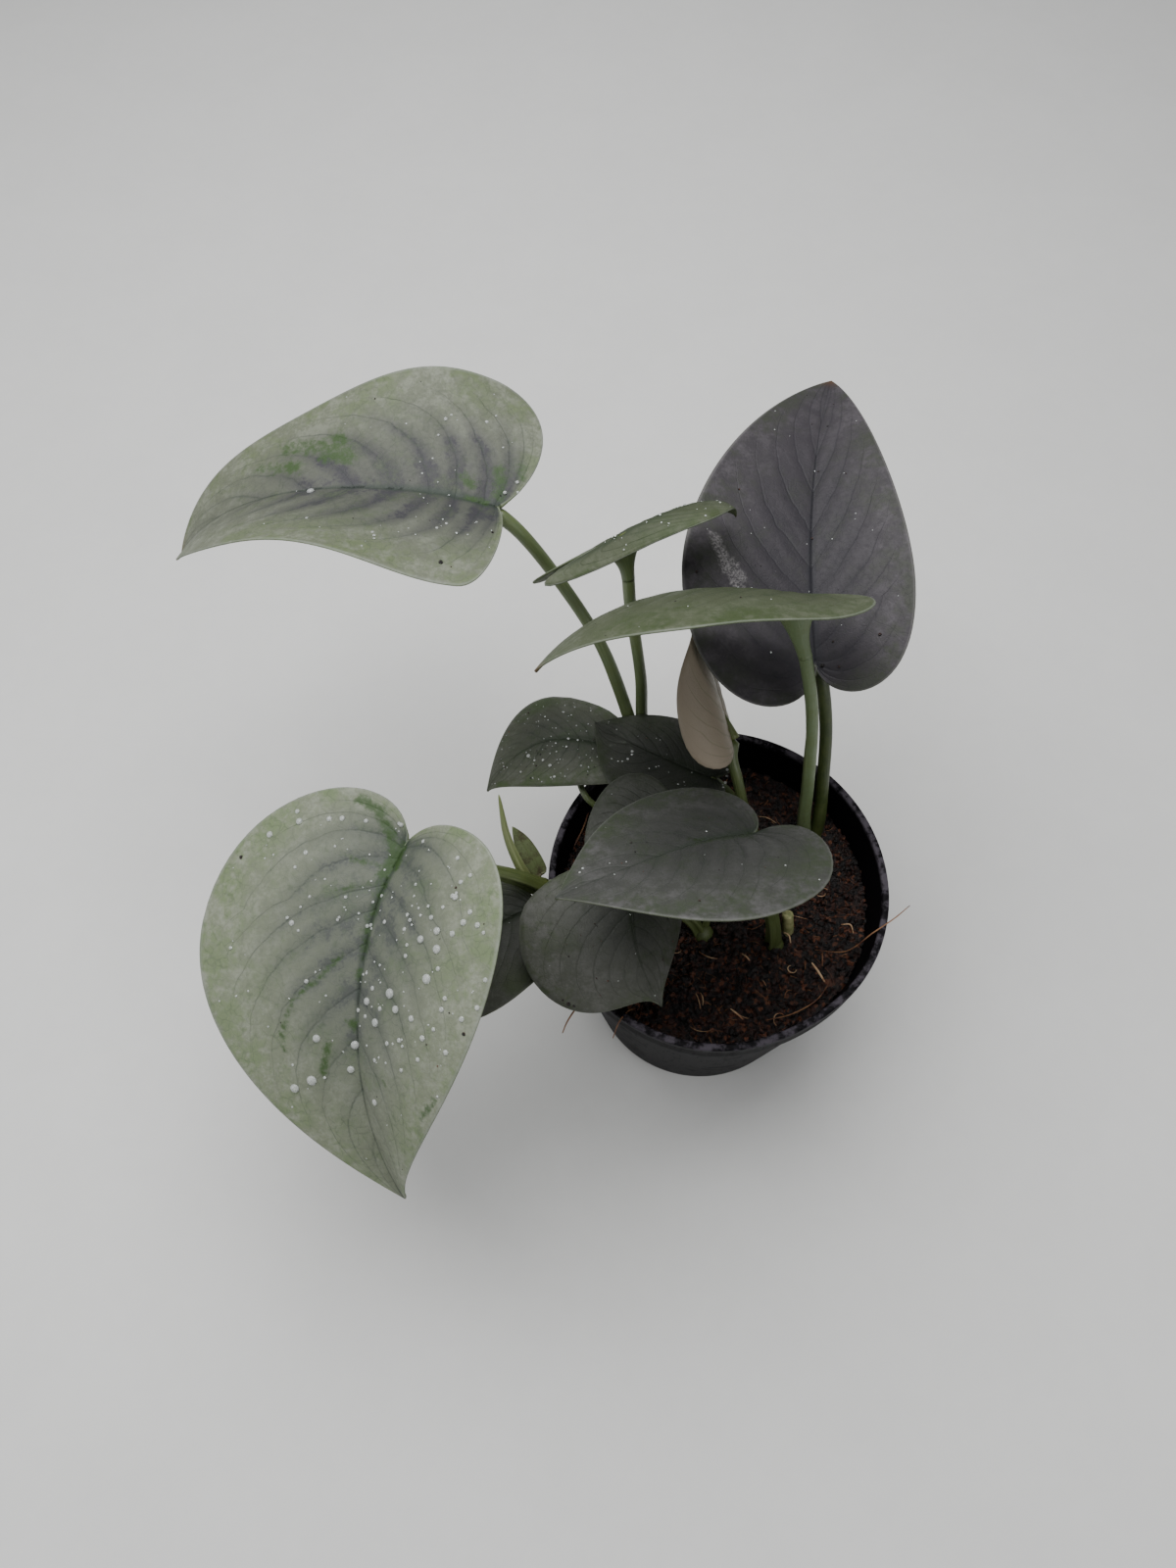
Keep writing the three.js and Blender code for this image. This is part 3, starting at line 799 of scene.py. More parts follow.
# A darker, purplish copy of the silver blade for the large back leaf, which faces away from the light: partly
# its own colour, partly painted shade
MAUVE = BladeFinish(
    "mauve_blade", silver=(0.039, 0.035, 0.040), dusk=(0.023, 0.021, 0.025), veining=0.75,
    bloom=(0.068, 0.062, 0.068), green=(0.036, 0.041, 0.029), rib=(0.022, 0.022, 0.026),
    wash=(0.026, 0.036, 0.016), glare=(0.22, 0.21, 0.21), under=(0.075, 0.092, 0.046),
)
GREYGREEN = BladeFinish(
    "greygreen_blade", silver=(0.062, 0.073, 0.042), dusk=(0.042, 0.050, 0.029), veining=0.4,
    bloom=(0.092, 0.102, 0.070), green=(0.034, 0.054, 0.016), rib=(0.036, 0.046, 0.028),
    under=(0.085, 0.108, 0.050),
)
# A darker copy of the blade for the low leaves that sit under the others: painted shade
SHADE_DARKENED = BladeFinish(
    "shade_darkened_blade", silver=(0.050, 0.052, 0.043), dusk=(0.034, 0.036, 0.032), veining=0.35,
    bloom=(0.078, 0.078, 0.072), green=(0.032, 0.044, 0.018), rib=(0.016, 0.021, 0.013),
    wash=(0.010, 0.018, 0.005), glare=(0.10, 0.11, 0.09), under=(0.06, 0.074, 0.034),
)
# The darkest copy of the blade, for the two leaves that lie under the front leaf: painted shade
SHADE_DARKEST = BladeFinish(
    "shade_darkest_blade", silver=(0.029, 0.031, 0.025), dusk=(0.020, 0.022, 0.019), veining=0.35,
    bloom=(0.046, 0.047, 0.042), green=(0.020, 0.029, 0.011), rib=(0.011, 0.015, 0.009),
    wash=(0.008, 0.014, 0.004), glare=(0.08, 0.09, 0.075), under=(0.05, 0.062, 0.028),
)
BEIGE = BladeFinish(
    "rolled_blade", silver=(0.21, 0.18, 0.135), dusk=(0.16, 0.135, 0.10), gloss=0.42,
    bloom=(0.25, 0.21, 0.165), green=(0.10, 0.115, 0.055), rib=(0.07, 0.06, 0.045),
    under=(0.205, 0.172, 0.13),
)
STALK = StalkFinish("petiole_skin")
SHOOT = StalkFinish("shoot_skin", main=(0.16, 0.20, 0.075), pale=(0.33, 0.36, 0.19), foot=(0.14, 0.15, 0.055))
POT = PotFinish("black_pot_plastic")
MIX = MixFinish("coir_mix")
FIBRE = FibreFinish("coir_fibre")
PALE_FIBRE = FibreFinish("pale_fibre", straw=(0.46, 0.31, 0.18), rust=(0.25, 0.11, 0.05))
PAPERY = DryFinish("papery_sheath")
CUT = DryFinish("cut_stalk", pale=(0.34, 0.33, 0.16), dark=(0.15, 0.17, 0.06))
WATER = WaterFinish("water")
PAPER = FloorFinish("studio_paper")


# Mesh helpers


def weld(points: np.ndarray, faces: Faces) -> tuple[np.ndarray, Faces, np.ndarray]:
    """Join points that fall together and drop the faces that close up.

    Args:
        points: All points, in millimetres.
        faces: Faces by point.

    Returns:
        The points kept, the faces on them, and which of the first points each one was.
    """
    _, first, inverse = np.unique(np.round(points, 4), axis=0, return_index=True, return_inverse=True)
    inverse = inverse.ravel()
    kept = []
    for face in faces:
        ring = [int(inverse[corner]) for corner in face]
        ring = [corner for place, corner in enumerate(ring) if corner != ring[place - 1]]
        if len(set(ring)) > 2:
            kept.append(ring)
    return points[first], kept, first


def triangles_of(faces: Faces) -> np.ndarray:
    """Split faces into triangles, as a fan."""
    return np.array([(face[0], face[i], face[i + 1]) for face in faces for i in range(1, len(face) - 1)])


def normals_of(points: np.ndarray, faces: Faces) -> np.ndarray:
    """Give each point's normal, averaged over its faces by area.

    Args:
        points: The points.
        faces: The faces on them.

    Returns:
        One normal for each point.
    """
    corner = triangles_of(faces)
    first, second, third = (points[corner[:, column]] for column in range(3))
    across = np.cross(second - first, third - first)
    total = np.zeros_like(points)
    for column in range(3):
        np.add.at(total, corner[:, column], across)
    return total / np.maximum(np.linalg.norm(total, axis=1, keepdims=True), 1e-12)


def linked(name: str, data: ID) -> Object:
    """Make an object from its data and link it to the scene.

    Args:
        name: The object's name.
        data: Its mesh, light or camera.

    Returns:
        The object.
    """
    made = bpy.data.objects.new(name, data)
    bpy.context.scene.collection.objects.link(made)
    return made


def mesh_object(
    name: str, points: np.ndarray, faces: Faces, finish: Finish, values: Values | None = None
) -> Object:
    """Make a smooth mesh object from millimetres.

    Args:
        name: The object's name.
        points: Its points, in millimetres.
        faces: Its faces.
        finish: Its finish.
        values: Float attributes by name.

    Returns:
        The object, linked to the scene.
    """
    mesh = bpy.data.meshes.new(name)
    mesh.from_pydata((np.asarray(points) * MM).tolist(), [], faces)
    for label, numbers in (values or {}).items():
        attribute = mesh.attributes.new(label, "FLOAT", "POINT")
        attribute.data.foreach_set("value", np.asarray(numbers, np.float32))
    mesh.shade_smooth()
    mesh.materials.append(finish.build())
    mesh.update()
    return linked(name, mesh)


def evaluated_copy(source: Object, name: str) -> Object:
    """Turn an object with modifiers into a plain mesh object and remove the first one.

    Args:
        source: The object with its modifiers.
        name: The new object's name.

    Returns:
        The plain object.
    """
    graph = bpy.context.evaluated_depsgraph_get()
    solved = source.evaluated_get(graph)
    mesh = bpy.data.meshes.new_from_object(solved, preserve_all_data_layers=True, depsgraph=graph)
    bpy.data.objects.remove(source)
    mesh.name = name
    return linked(name, mesh)


def grow(
    source: Object, group: NodeTree, name: str, inputs: dict[str, object]
) -> Object:
    """Run a geometry node tree on an object and keep the result as a plain mesh.

    Args:
        source: The object that the tree reads. It is used up.
        group: The tree.
        name: The new object's name.
        inputs: The modifier's inputs by name.

    Returns:
        The plain object.
    """
    modifier = source.modifiers.new(group.name, "NODES")
    modifier.node_group = group
    for item in group.interface.items_tree:
        if item.item_type == "SOCKET" and item.in_out == "INPUT" and item.name in inputs:
            modifier[item.identifier] = inputs[item.name]
    source.update_tag()
    return evaluated_copy(source, name)


def settle(piece: Object, slot: Slot | None, *nodes: str) -> Object:
    """Hand a finished piece to the frame and report it.

    Args:
        piece: The finished piece.
        slot: Its material slot, or nothing for water. Not used.
        *nodes: The nodes that it replaces.

    Returns:
        The piece.
    """
    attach(piece, "root")
    if nodes:
        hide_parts(*nodes)
    piece.data.calc_loop_triangles()
    log.info("%s: %d triangles", piece.name, len(piece.data.loop_triangles))
    return piece


# Routes


def catmull(points: Sequence[Point], count: int) -> np.ndarray:
    """Follow a smooth centripetal curve through points, at even steps.

    Args:
        points: The points of the route.
        count: How many steps to take.

    Returns:
        count + 1 points.
    """
    knots = np.array(points, float)
    ends = np.vstack([2 * knots[0] - knots[1], knots, 2 * knots[-1] - knots[-2]])
    dense = []
    shares = np.linspace(0, 1, 33)[:, None]
    for place in range(len(knots) - 1):
        before, start, end, after = ends[place : place + 4]
        pairs = ((before, start), (start, end), (end, after))
        gap = [max(np.linalg.norm(b - a) ** 0.5, 1e-4) for a, b in pairs]
        direct = (end - start) / gap[1]
        out = ((start - before) / gap[0] - (end - before) / (gap[0] + gap[1]) + direct) * gap[1]
        back = (direct - (after - start) / (gap[1] + gap[2]) + (after - end) / gap[2]) * gap[1]
        squares = -3 * start + 3 * end - 2 * out - back
        cubes = 2 * start - 2 * end + out + back
        run = start + out * shares + squares * shares**2 + cubes * shares**3
        dense.append(run if place == 0 else run[1:])
    line = np.vstack(dense)
    lengths = np.concatenate([[0], np.cumsum(np.linalg.norm(np.diff(line, axis=0), axis=1))])
    even = np.linspace(0, lengths[-1], count + 1)
    return np.stack([np.interp(even, lengths, line[:, axis]) for axis in range(3)], axis=1)


def length_of(line: np.ndarray) -> float:
    """The length of a line of points."""
    return float(np.linalg.norm(np.diff(line, axis=0), axis=1).sum())


def frames_along(line: np.ndarray, up: Sequence[float]) -> tuple[np.ndarray, np.ndarray]:
    """Carry a side and an upper direction along a line without twist.

    Args:
        line: The points of the line.
        up: The direction that the first upper one is nearest to.

    Returns:
        The side and upper directions at each point.
    """
    heading = np.gradient(line, axis=0)
    heading /= np.linalg.norm(heading, axis=1, keepdims=True)
    upper = np.array(up, float)
    sides, uppers = [], []
    for ahead in heading:
        upper = upper - ahead * upper.dot(ahead)
        upper /= max(np.linalg.norm(upper), 1e-9)
        sides.append(np.cross(ahead, upper))
        uppers.append(upper)
    return np.array(sides), np.array(uppers)


def band(rows: int, sides: int) -> Faces:
    """Give the faces between closed rings of points.

    Args:
        rows: How many rings there are.
        sides: How many points each has.

    Returns:
        The faces, ring by ring.
    """
    faces = []
    for low in range(0, (rows - 1) * sides, sides):
        for place in range(sides):
            after, high = (place + 1) % sides, low + sides
            faces.append([low + place, low + after, high + after, high + place])
    return faces


def closed_band(rows: int, sides: int, flip: bool = False) -> Faces:
    """Give the faces of rings that are closed by one more point at each end.

    Args:
        rows: How many rings there are.
        sides: How many points each has.
        flip: Whether the faces look the other way.

    Returns:
        The faces.
    """
    faces = band(rows, sides)
    foot, last = rows * sides, (rows - 1) * sides
    for place in range(sides):
        after = (place + 1) % sides
        faces += [[foot, after, place], [foot + 1, last + place, last + after]]
    return [[ring[0], *ring[:0:-1]] for ring in faces] if flip else faces


@dataclass
class Tube:
    """A closed tube along a route, with an optional channel and its two sheath ridges on the upper side.

    Ridges and channel are placed and sized by their turn in radians, and raised by shares of the radius.
    """

    route: Sequence[Point]
    radius: Callable[[np.ndarray], np.ndarray]
    up: Point = (0.0, 0.0, 1.0)
    channel: Callable[[np.ndarray], np.ndarray] | None = None
    sides: int = 24
    step: float = 1.0
    ridge_turn: float = 0.62
    ridge_width: float = 0.2
    ridge_height: float = 0.30
    channel_width: float = 0.42
    channel_depth: float = 0.28
    foot_reach: float = 6.0

    def build(self) -> Shell:
        """Sweep the tube.

        Returns:
            Its points, faces and the values around, length, ridge and foot.
        """
        count = max(4, round(length_of(catmull(self.route, 60)) / self.step))
        line = catmull(self.route, count)
        side, upper = frames_along(line, self.up)
        share = np.linspace(0, 1, count + 1)
        turn = np.linspace(0, 2 * math.pi, self.sides, endpoint=False)
        depth = (self.channel(share) if self.channel else np.zeros(count + 1))[:, None]
        off = np.angle(np.exp(1j * turn))[None, :]
        turns = (self.ridge_turn, -self.ridge_turn)
        left, right = (np.exp(-(((off - at) / self.ridge_width) ** 2)) for at in turns)
        ridge = (left + right) * depth
        groove = np.exp(-((off / self.channel_width) ** 2)) * depth
        reach = self.radius(share)[:, None] * (1 + self.ridge_height * ridge - self.channel_depth * groove)
        rings = line[:, None, :] + upper[:, None, :] * (np.cos(turn) * reach)[:, :, None]
        rings = rings + side[:, None, :] * (np.sin(turn) * reach)[:, :, None]
        points = np.vstack([rings.reshape(-1, 3), line[0], line[-1]])
        length = share * length_of(line)
        foot = np.exp(-length / self.foot_reach)
        values = {
            "around": np.concatenate([np.tile(np.cos(turn) * 0.5 + 0.5, count + 1), [0.5, 0.5]]),
            "length": np.concatenate([np.repeat(length, self.sides), [0, length[-1]]]),
            "ridge": np.concatenate([ridge.ravel(), [0, 0]]),
            "foot": np.concatenate([np.repeat(foot, self.sides), [1, 0]]),
        }
        return points, closed_band(count + 1, self.sides, flip=True), values


def joined(parts: Sequence[Shell]) -> Shell:
    """Put several shells into one mesh.

    Args:
        parts: Each shell's points, faces and values.

    Returns:
        The points, faces and values of all.
    """
    points, faces, values, start = [], [], {}, 0
    for some, rings, numbers in parts:
        points.append(some)
        faces += [[corner + start for corner in ring] for ring in rings]
        for label, row in numbers.items():
            values.setdefault(label, []).append(row)
        start += len(some)
    return np.vstack(points), faces, {label: np.concatenate(rows) for label, rows in values.items()}


# Blades


@dataclass(frozen=True)
class BladeShape:
    """A blade's form, measured from the joint where the petiole meets the sinus between its lobes.

    Pairs are the left and the right half, seen from the joint towards the tip.
    """

    joint: Point
    heading: float
    pitch: float
    roll: float
    length: float
    width: Pair
    lobe: Pair
    widest: float = 0.25
    full: Pair = (0.5, 0.5)
    point: float = 0.3
    tip_width: Pair = (0.3, 0.3)
    sinus: float = 0.05
    fold: Pair = (4.0, 4.0)
    curl: Pair = (0.0, 0.0)
    droop: float = 0.0
    droop_power: float = 1.0
    sweep: float = 0.0
    dimple: float = 2.0
    lobe_drop: float = 0.0
    wave: float = 0.0
    waves: float = 2.5
    phase: float = 0.0

    def turned(self) -> np.ndarray:
        """Give the blade's rotation.

        Returns:
            A 3 by 3 array.
        """
        heading = Matrix.Rotation(math.radians(self.heading), 3, "Z")
        pitch = Matrix.Rotation(-math.radians(self.pitch), 3, "Y")
        return np.array(heading @ pitch @ Matrix.Rotation(math.radians(self.roll), 3, "X"))

    def place(self, points: np.ndarray) -> np.ndarray:
        """Carry points from the blade's own frame to the plant's."""
        return points @ self.turned().T + np.array(self.joint)

    def outline(self, side: int, lobe_rows: int, tip_rows: int) -> tuple[np.ndarray, np.ndarray, np.ndarray]:
        """Give the rows that run from the midrib to the margin.

        Args:
            side: 0 for the left half, 1 for the right.
            lobe_rows: Rows in the lobe.
            tip_rows: Rows from the widest part to the tip.

        Returns:
            Each row's order, from -1 at the sinus over 0 to 1 at the tip, its place on the midrib,
            and its place on the margin.
        """
        width, widest = self.width[side], self.widest * self.length
        rest = self.length - widest
        reach = (self.lobe[side] + 0.09 * widest) / BEZIER_REACH
        back = np.linspace(0, 1, lobe_rows + 1)[1:]
        lobe = bezier((0, 0), (-reach, self.sinus * width), (-reach, width), (widest, width), back)
        ahead = np.linspace(0, 1, tip_rows + 1)[1:]
        first = (widest + self.full[side] * rest, width)
        second = (self.length - self.point * rest, self.tip_width[side] * width)
        tip = bezier((widest, width), first, second, (self.length, 0), ahead)
        near = RIB_START * self.length
        lobe_rib = near * np.maximum(0, 2 * back - 1) ** 2
        rib = np.concatenate([lobe_rib, near + (self.length - near) * ahead**1.1])
        return np.concatenate([back - 1, ahead]), rib, np.vstack([lobe, tip])

    def rib(self, x: np.ndarray) -> tuple[np.ndarray, np.ndarray, np.ndarray]:
        """Follow the midrib as it bows down, and the lobes as they bend behind the joint.

        Args:
            x: Distances from the joint towards the tip.

        Returns:
            How far along, how far up and at what slope each place is.
        """
        ahead = np.maximum(x, 0)
        parts = (np.arange(24) + 0.5) / 24
        slopes = -math.radians(self.droop) * (ahead[..., None] * parts / self.length) ** self.droop_power
        along = np.cos(slopes).mean(-1) * ahead
        rise = np.sin(slopes).mean(-1) * ahead
        slope = -math.radians(self.droop) * (ahead / self.length) ** self.droop_power
        behind = np.minimum(x, 0)
        back = math.radians(self.lobe_drop) * (-behind / max(self.lobe))
        return along + behind * np.cos(back / 2), rise + behind * np.sin(back / 2), slope + back

    def face(self, side: int, x: np.ndarray, y: np.ndarray) -> np.ndarray:
        """Give points of the upper face in the blade's own frame.

        Args:
            side: 0 for the left half, 1 for the right.
            x: Distances from the joint towards the tip.
            y: Distances outwards from the midrib.

        Returns:
            The points.
        """
        width, fold = self.width[side], math.radians(self.fold[side])
        bend = (math.radians(self.curl[side]) + 1e-4) / width
        outwards = (np.sin(fold + bend * y) - math.sin(fold)) / bend
        along, rise, slope = self.rib(x)
        place = x / self.length
        sideways = 4 * self.sweep * place * np.where(x >= 0, 1 - place, 1)
        turn = 2 * math.pi * self.waves * place + math.radians(self.phase) + 2 * side
        wave = self.wave * (y / width) ** 2 * np.sin(turn)
        sunk = self.dimple * np.exp(-(x**2 + y**2) / DIMPLE_RADIUS**2)
        height = (math.cos(fold) - np.cos(fold + bend * y)) / bend + wave - sunk
        lateral = (outwards if side == 0 else -outwards) + sideways
        raised = rise + np.cos(slope) * height + self.dimple
        return np.stack([along - np.sin(slope) * height, lateral, raised], -1)

    def under(self, x: float, depth: float) -> np.ndarray:
        """A place under the midrib, in the plant's frame."""
        spot = self.face(0, np.array([x]), np.array([0.0])) - np.array([0, 0, depth])
        return self.place(spot)[0]

    def touch(self, x: float, y: float) -> tuple[np.ndarray, np.ndarray]:
        """Find a place on the upper face.

        Args:
            x: Distance from the joint towards the tip.
            y: Distance from the midrib, positive to the left.

        Returns:
            The point and the face's normal, in the plant's frame.
        """
        side, step = (0 if y >= 0 else 1), 0.2
        steps = ((0, 0), (step, 0), (0, step))
        spot, ahead, aside = (self.face(side, np.array([x + a]), np.array([abs(y) + b]))[0] for a, b in steps)
        normal = np.cross(ahead - spot, aside - spot) * (1 if side == 0 else -1)
        normal /= np.linalg.norm(normal)
        return self.place(spot[None])[0], self.turned() @ normal


def bezier(a: Pair, b: Pair, c: Pair, d: Pair, t: np.ndarray) -> np.ndarray:
    """Follow a cubic curve.

    Args:
        a: Where it starts.
        b: Its first control point.
        c: Its second one.
        d: Where it ends.
        t: Shares of the way.

    Returns:
        A point at each share.
    """
    t = t[:, None]
    a, b, c, d = (np.array(p, float) for p in (a, b, c, d))
    return a * (1 - t) ** 3 + 3 * b * t * (1 - t) ** 2 + 3 * c * t**2 * (1 - t) + d * t**3


@dataclass(frozen=True)
class Streak:
    """A mark along a line on the blade, given by places x, y in its own millimetres."""

    line: tuple[Pair, ...]
    half_width: float
    strength: float = 1.0

    def cover(self, x: np.ndarray, y: np.ndarray) -> np.ndarray:
        """Say how strongly each place is marked.

        Args:
            x: Places along the blade.
            y: Places across it.

        Returns:
            The cover at each place.
        """
        nearest = np.full_like(x, 1e9)
        for start, end in zip(self.line, self.line[1:] or self.line):
            run = np.subtract(end, start)
            share = ((x - start[0]) * run[0] + (y - start[1]) * run[1]) / max(float(run @ run), 1e-9)
            share = np.clip(share, 0, 1)
            away = np.hypot(x - start[0] - share * run[0], y - start[1] - share * run[1])
            nearest = np.minimum(nearest, away)
        return self.strength * np.exp(-((nearest / self.half_width) ** 2))


@dataclass
class Leaf:
    """One blade: its form, its finish and what marks it.

    The grooves of the side veins and the midrib, and the keel below it, are given as depth and half width.
    """

    name: str
    shape: BladeShape
    finish: BladeFinish = DUSKY
    slot: Slot = Slot.DUSKY
    washes: tuple[Streak, ...] = ()
    # Streaks where water lies, painted pale: painted highlight
    glares: tuple[Streak, ...] = ()
    beads: tuple[Point, ...] = ()
    specks: tuple[Point, ...] = ()
    dew: int = 0
    dew_size: Pair = (0.16, 0.4)
    dew_heart: Point = (0, 0, 200)
    grit: int = 0
    scorch: float = 0.0
    vein_start: float = 0.35
    vein_lead: Pair = (0.12, 0.34)
    vein_spacing: float = 0.135
    vein_groove: Pair = (0.22, 1.1)
    rib_groove: Pair = (0.3, 0.7)
    keel: Pair = (0.45, 1.1)
    thickness: float = 0.8
    margin_thickness: float = 0.42
    lip: float = 0.16
    lobe_rows_per_mm: float = 0.32
    tip_rows_per_mm: float = 0.85
    columns_per_mm: float = 0.8

    def grid(self) -> Shell:
        """Lay the upper face out as rows from the midrib to the margin.

        Returns:
            Its points in the blade's frame, its faces and its values.
        """
        shape = self.shape
        lobe_rows = max(10, round(shape.length * self.lobe_rows_per_mm))
        tip_rows = max(24, round(shape.length * self.tip_rows_per_mm))
        columns = max(12, round(max(shape.width) * self.columns_per_mm))
        share = np.linspace(0, 1, columns + 1) ** 1.15
        all_points, faces, start = [], [], 0
        values: dict[str, list[np.ndarray]] = {}
        for side in (0, 1):
            order, rib, edge = shape.outline(side, lobe_rows, tip_rows)
            x = rib[:, None] + (edge[:, :1] - rib[:, None]) * share
            y = edge[:, 1:] * share
            vein, reach = self.veins(order, share, x, y)
            away = np.abs(vein % 1 - 0.5) * reach
            points = shape.face(side, x, y)
            dip = hollow(self.vein_groove, away) * (1 - share[None, :] ** 3) + hollow(self.rib_groove, y)
            dip *= np.clip(1 - x / shape.length, 0, 1) ** 0.5
            points[..., 2] -= dip * np.clip(y / 0.5 + 0.6, 0, 1)
            rows = {
                "along": x / shape.length, "across": y if side == 0 else -y,
                "margin": np.tile(share, (len(order), 1)), "vein": vein, "reach": reach,
            }
            for label, numbers in rows.items():
                values.setdefault(label, []).append(numbers.ravel())
            all_points.append(points.reshape(-1, 3))
            stride = columns + 1
            for row in range(len(order) - 1):
                for column in range(columns):
                    a = start + row * stride + column
                    ring = [a, a + stride, a + stride + 1, a + 1]
                    faces.append(ring if side == 0 else ring[::-1])
            start += points.shape[0] * points.shape[1]
        points, faces, first = weld(np.vstack(all_points), faces)
        return points, faces, {label: np.concatenate(rows)[first] for label, rows in values.items()}

    def veins(
        self, order: np.ndarray, share: np.ndarray, x: np.ndarray, y: np.ndarray
    ) -> tuple[np.ndarray, np.ndarray]:
        """Number the side veins, which arch from the midrib towards the tip.

        Args:
            order: Each row's order from the sinus to the tip.
            share: Each column's share of the way to the margin.
            x: Places along the blade.
            y: Places across it.

        Returns:
            The vein number of each place, a vein lying at each half, and how many millimetres one number is.
        """
        row = np.where(order < 0, order * 0.5, np.abs(order) ** 0.8)
        lead = self.vein_lead[0] * share + self.vein_lead[1] * share**2.6
        vein = (row[:, None] - lead[None, :]) / self.vein_spacing + self.vein_start
        by_row = np.gradient(vein, axis=0), np.gradient(vein, axis=1)
        x_row, x_col = np.gradient(x, axis=0), np.gradient(x, axis=1)
        y_row, y_col = np.gradient(y, axis=0), np.gradient(y, axis=1)
        area = x_row * y_col - x_col * y_row
        area = np.where(np.abs(area) < 1e-4, 1e-4, area)
        slope_x = (by_row[0] * y_col - by_row[1] * y_row) / area
        slope_y = (by_row[1] * x_row - by_row[0] * x_col) / area
        return vein, np.clip(1 / np.maximum(np.hypot(slope_x, slope_y), 1e-6), 0.2, 30)

    def marked(self, streaks: Sequence[Streak], values: Values) -> np.ndarray:
        """How strongly each place is marked by some streaks.

        Args:
            streaks: The streaks.
            values: The values along and across of each place.

        Returns:
            The strongest cover at each place.
        """
        x, y = values["along"] * self.shape.length, values["across"]
        total = np.zeros_like(x)
        for streak in streaks:
            total = np.maximum(total, streak.cover(x, y))
        return total

    def sprinkled(self, count: int, size: Pair, draw: np.random.Generator) -> list[Point]:
        """Draw places on the upper face at random, densest round the leaf's dew heart.

        Args:
            count: How many places.
            size: The smallest and largest radius.
            draw: The random numbers.

        Returns:
            Each place's x and y on the blade and its radius.
        """
        places = []
        shape = self.shape
        heart_x, heart_y, reach = self.dew_heart
        while len(places) < count:
            x = shape.length * draw.uniform(-0.12, 0.97)
            y = draw.uniform(-shape.width[1], shape.width[0])
            near = math.exp(-(((x - heart_x) ** 2 + (y - heart_y) ** 2) / reach**2))
            if draw.random() < 0.12 + 0.88 * near and self.holds(x, y):
                places.append((x, y, size[0] + (size[1] - size[0]) * draw.random() ** 2))
        return places

    def holds(self, x: float, y: float) -> bool:
        """Tell whether the blade reaches over a place.

        Args:
            x: The place along the blade.
            y: The place across it.

        Returns:
            True if it does, with a little to spare.
        """
        side = 0 if y >= 0 else 1
        edge = self.shape.outline(side, 12, 24)[2]
        behind, ahead = edge[:12], edge[12:]
        rows = ahead if x >= behind[-1, 0] else behind[behind[:, 0].argmin():]
        return abs(y) < 0.93 * float(np.interp(x, rows[:, 0], rows[:, 1], left=0, right=0))

    def build(self) -> Object:
        """Build the closed blade with a thin rounded margin and a raised midrib below.

        Returns:
            The leaf piece.
        """
        top, faces, values = self.grid()
        count = len(top)
        normal = normals_of(top, faces)
        margin = values["margin"]
        depth = self.margin_thickness + (self.thickness - self.margin_thickness) * (1 - margin**3)
        keel = hollow(self.keel, values["across"]) * np.clip(1 - values["along"], 0, 1) ** 0.7
        bottom = top - normal * (depth + keel)[:, None]
        directed = {(a, b) for face in faces for a, b in zip(face, face[1:] + face[:1])}
        rim = [(a, b) for a, b in directed if (b, a) not in directed]
        ring = sorted({a for edge in rim for a in edge})
        slot_of = {vertex: 2 * count + place for place, vertex in enumerate(ring)}
        outward = self.outward(top, normal, rim, ring)
        middle = (top[ring] + bottom[ring]) / 2 + outward * self.lip
        rings = list(faces) + [[count + corner for corner in face[::-1]] for face in faces]
        for a, b in sorted(rim):
            rings.append([b, a, slot_of[a], slot_of[b]])
            rings.append([slot_of[b], slot_of[a], count + a, count + b])
        points = self.shape.place(np.vstack([top, bottom, middle]))
        every = {label: np.concatenate([rows, rows, rows[ring]]) for label, rows in values.items()}
        # The washes are green patches of the blade; the glare streaks are painted highlight
        for label, streaks in (("wash", self.washes), ("glare", self.glares)):
            cover = self.marked(streaks, values)
            every[label] = np.concatenate([cover, cover * 0.4, cover[ring]])
        scorch = self.scorch * np.clip((values["along"] - 0.94) / 0.06, 0, 1) ** 2
        every["scorch"] = np.concatenate([scorch, scorch, scorch[ring]])
        every["under"] = np.concatenate([np.zeros(count), np.ones(count), np.full(len(ring), 0.6)])
        blade = mesh_object(self.name + "_blade", points, rings, self.finish, every)
        return settle(blade, self.slot, self.name)

    @staticmethod
    def outward(
        top: np.ndarray, normal: np.ndarray, rim: Sequence[tuple[int, int]], ring: Sequence[int]
    ) -> np.ndarray:
        """Give the direction out of the margin at each of its points.

        Args:
            top: The upper face's points.
            normal: Their normals.
            rim: The margin's edges, with the blade on their left.
            ring: The margin's points.

        Returns:
            One direction for each point of the ring.
        """
        total = np.zeros_like(top)
        for a, b in rim:
            out = np.cross(top[b] - top[a], normal[a])
            total[a] += out
            total[b] += out
        chosen = total[ring]
        return chosen / np.maximum(np.linalg.norm(chosen, axis=1, keepdims=True), 1e-9)


def hollow(size: Pair, distance: np.ndarray) -> np.ndarray:
    """A rounded hollow of a depth and half width, at distances from its middle."""
    return size[0] * np.exp(-((distance / size[1]) ** 2))


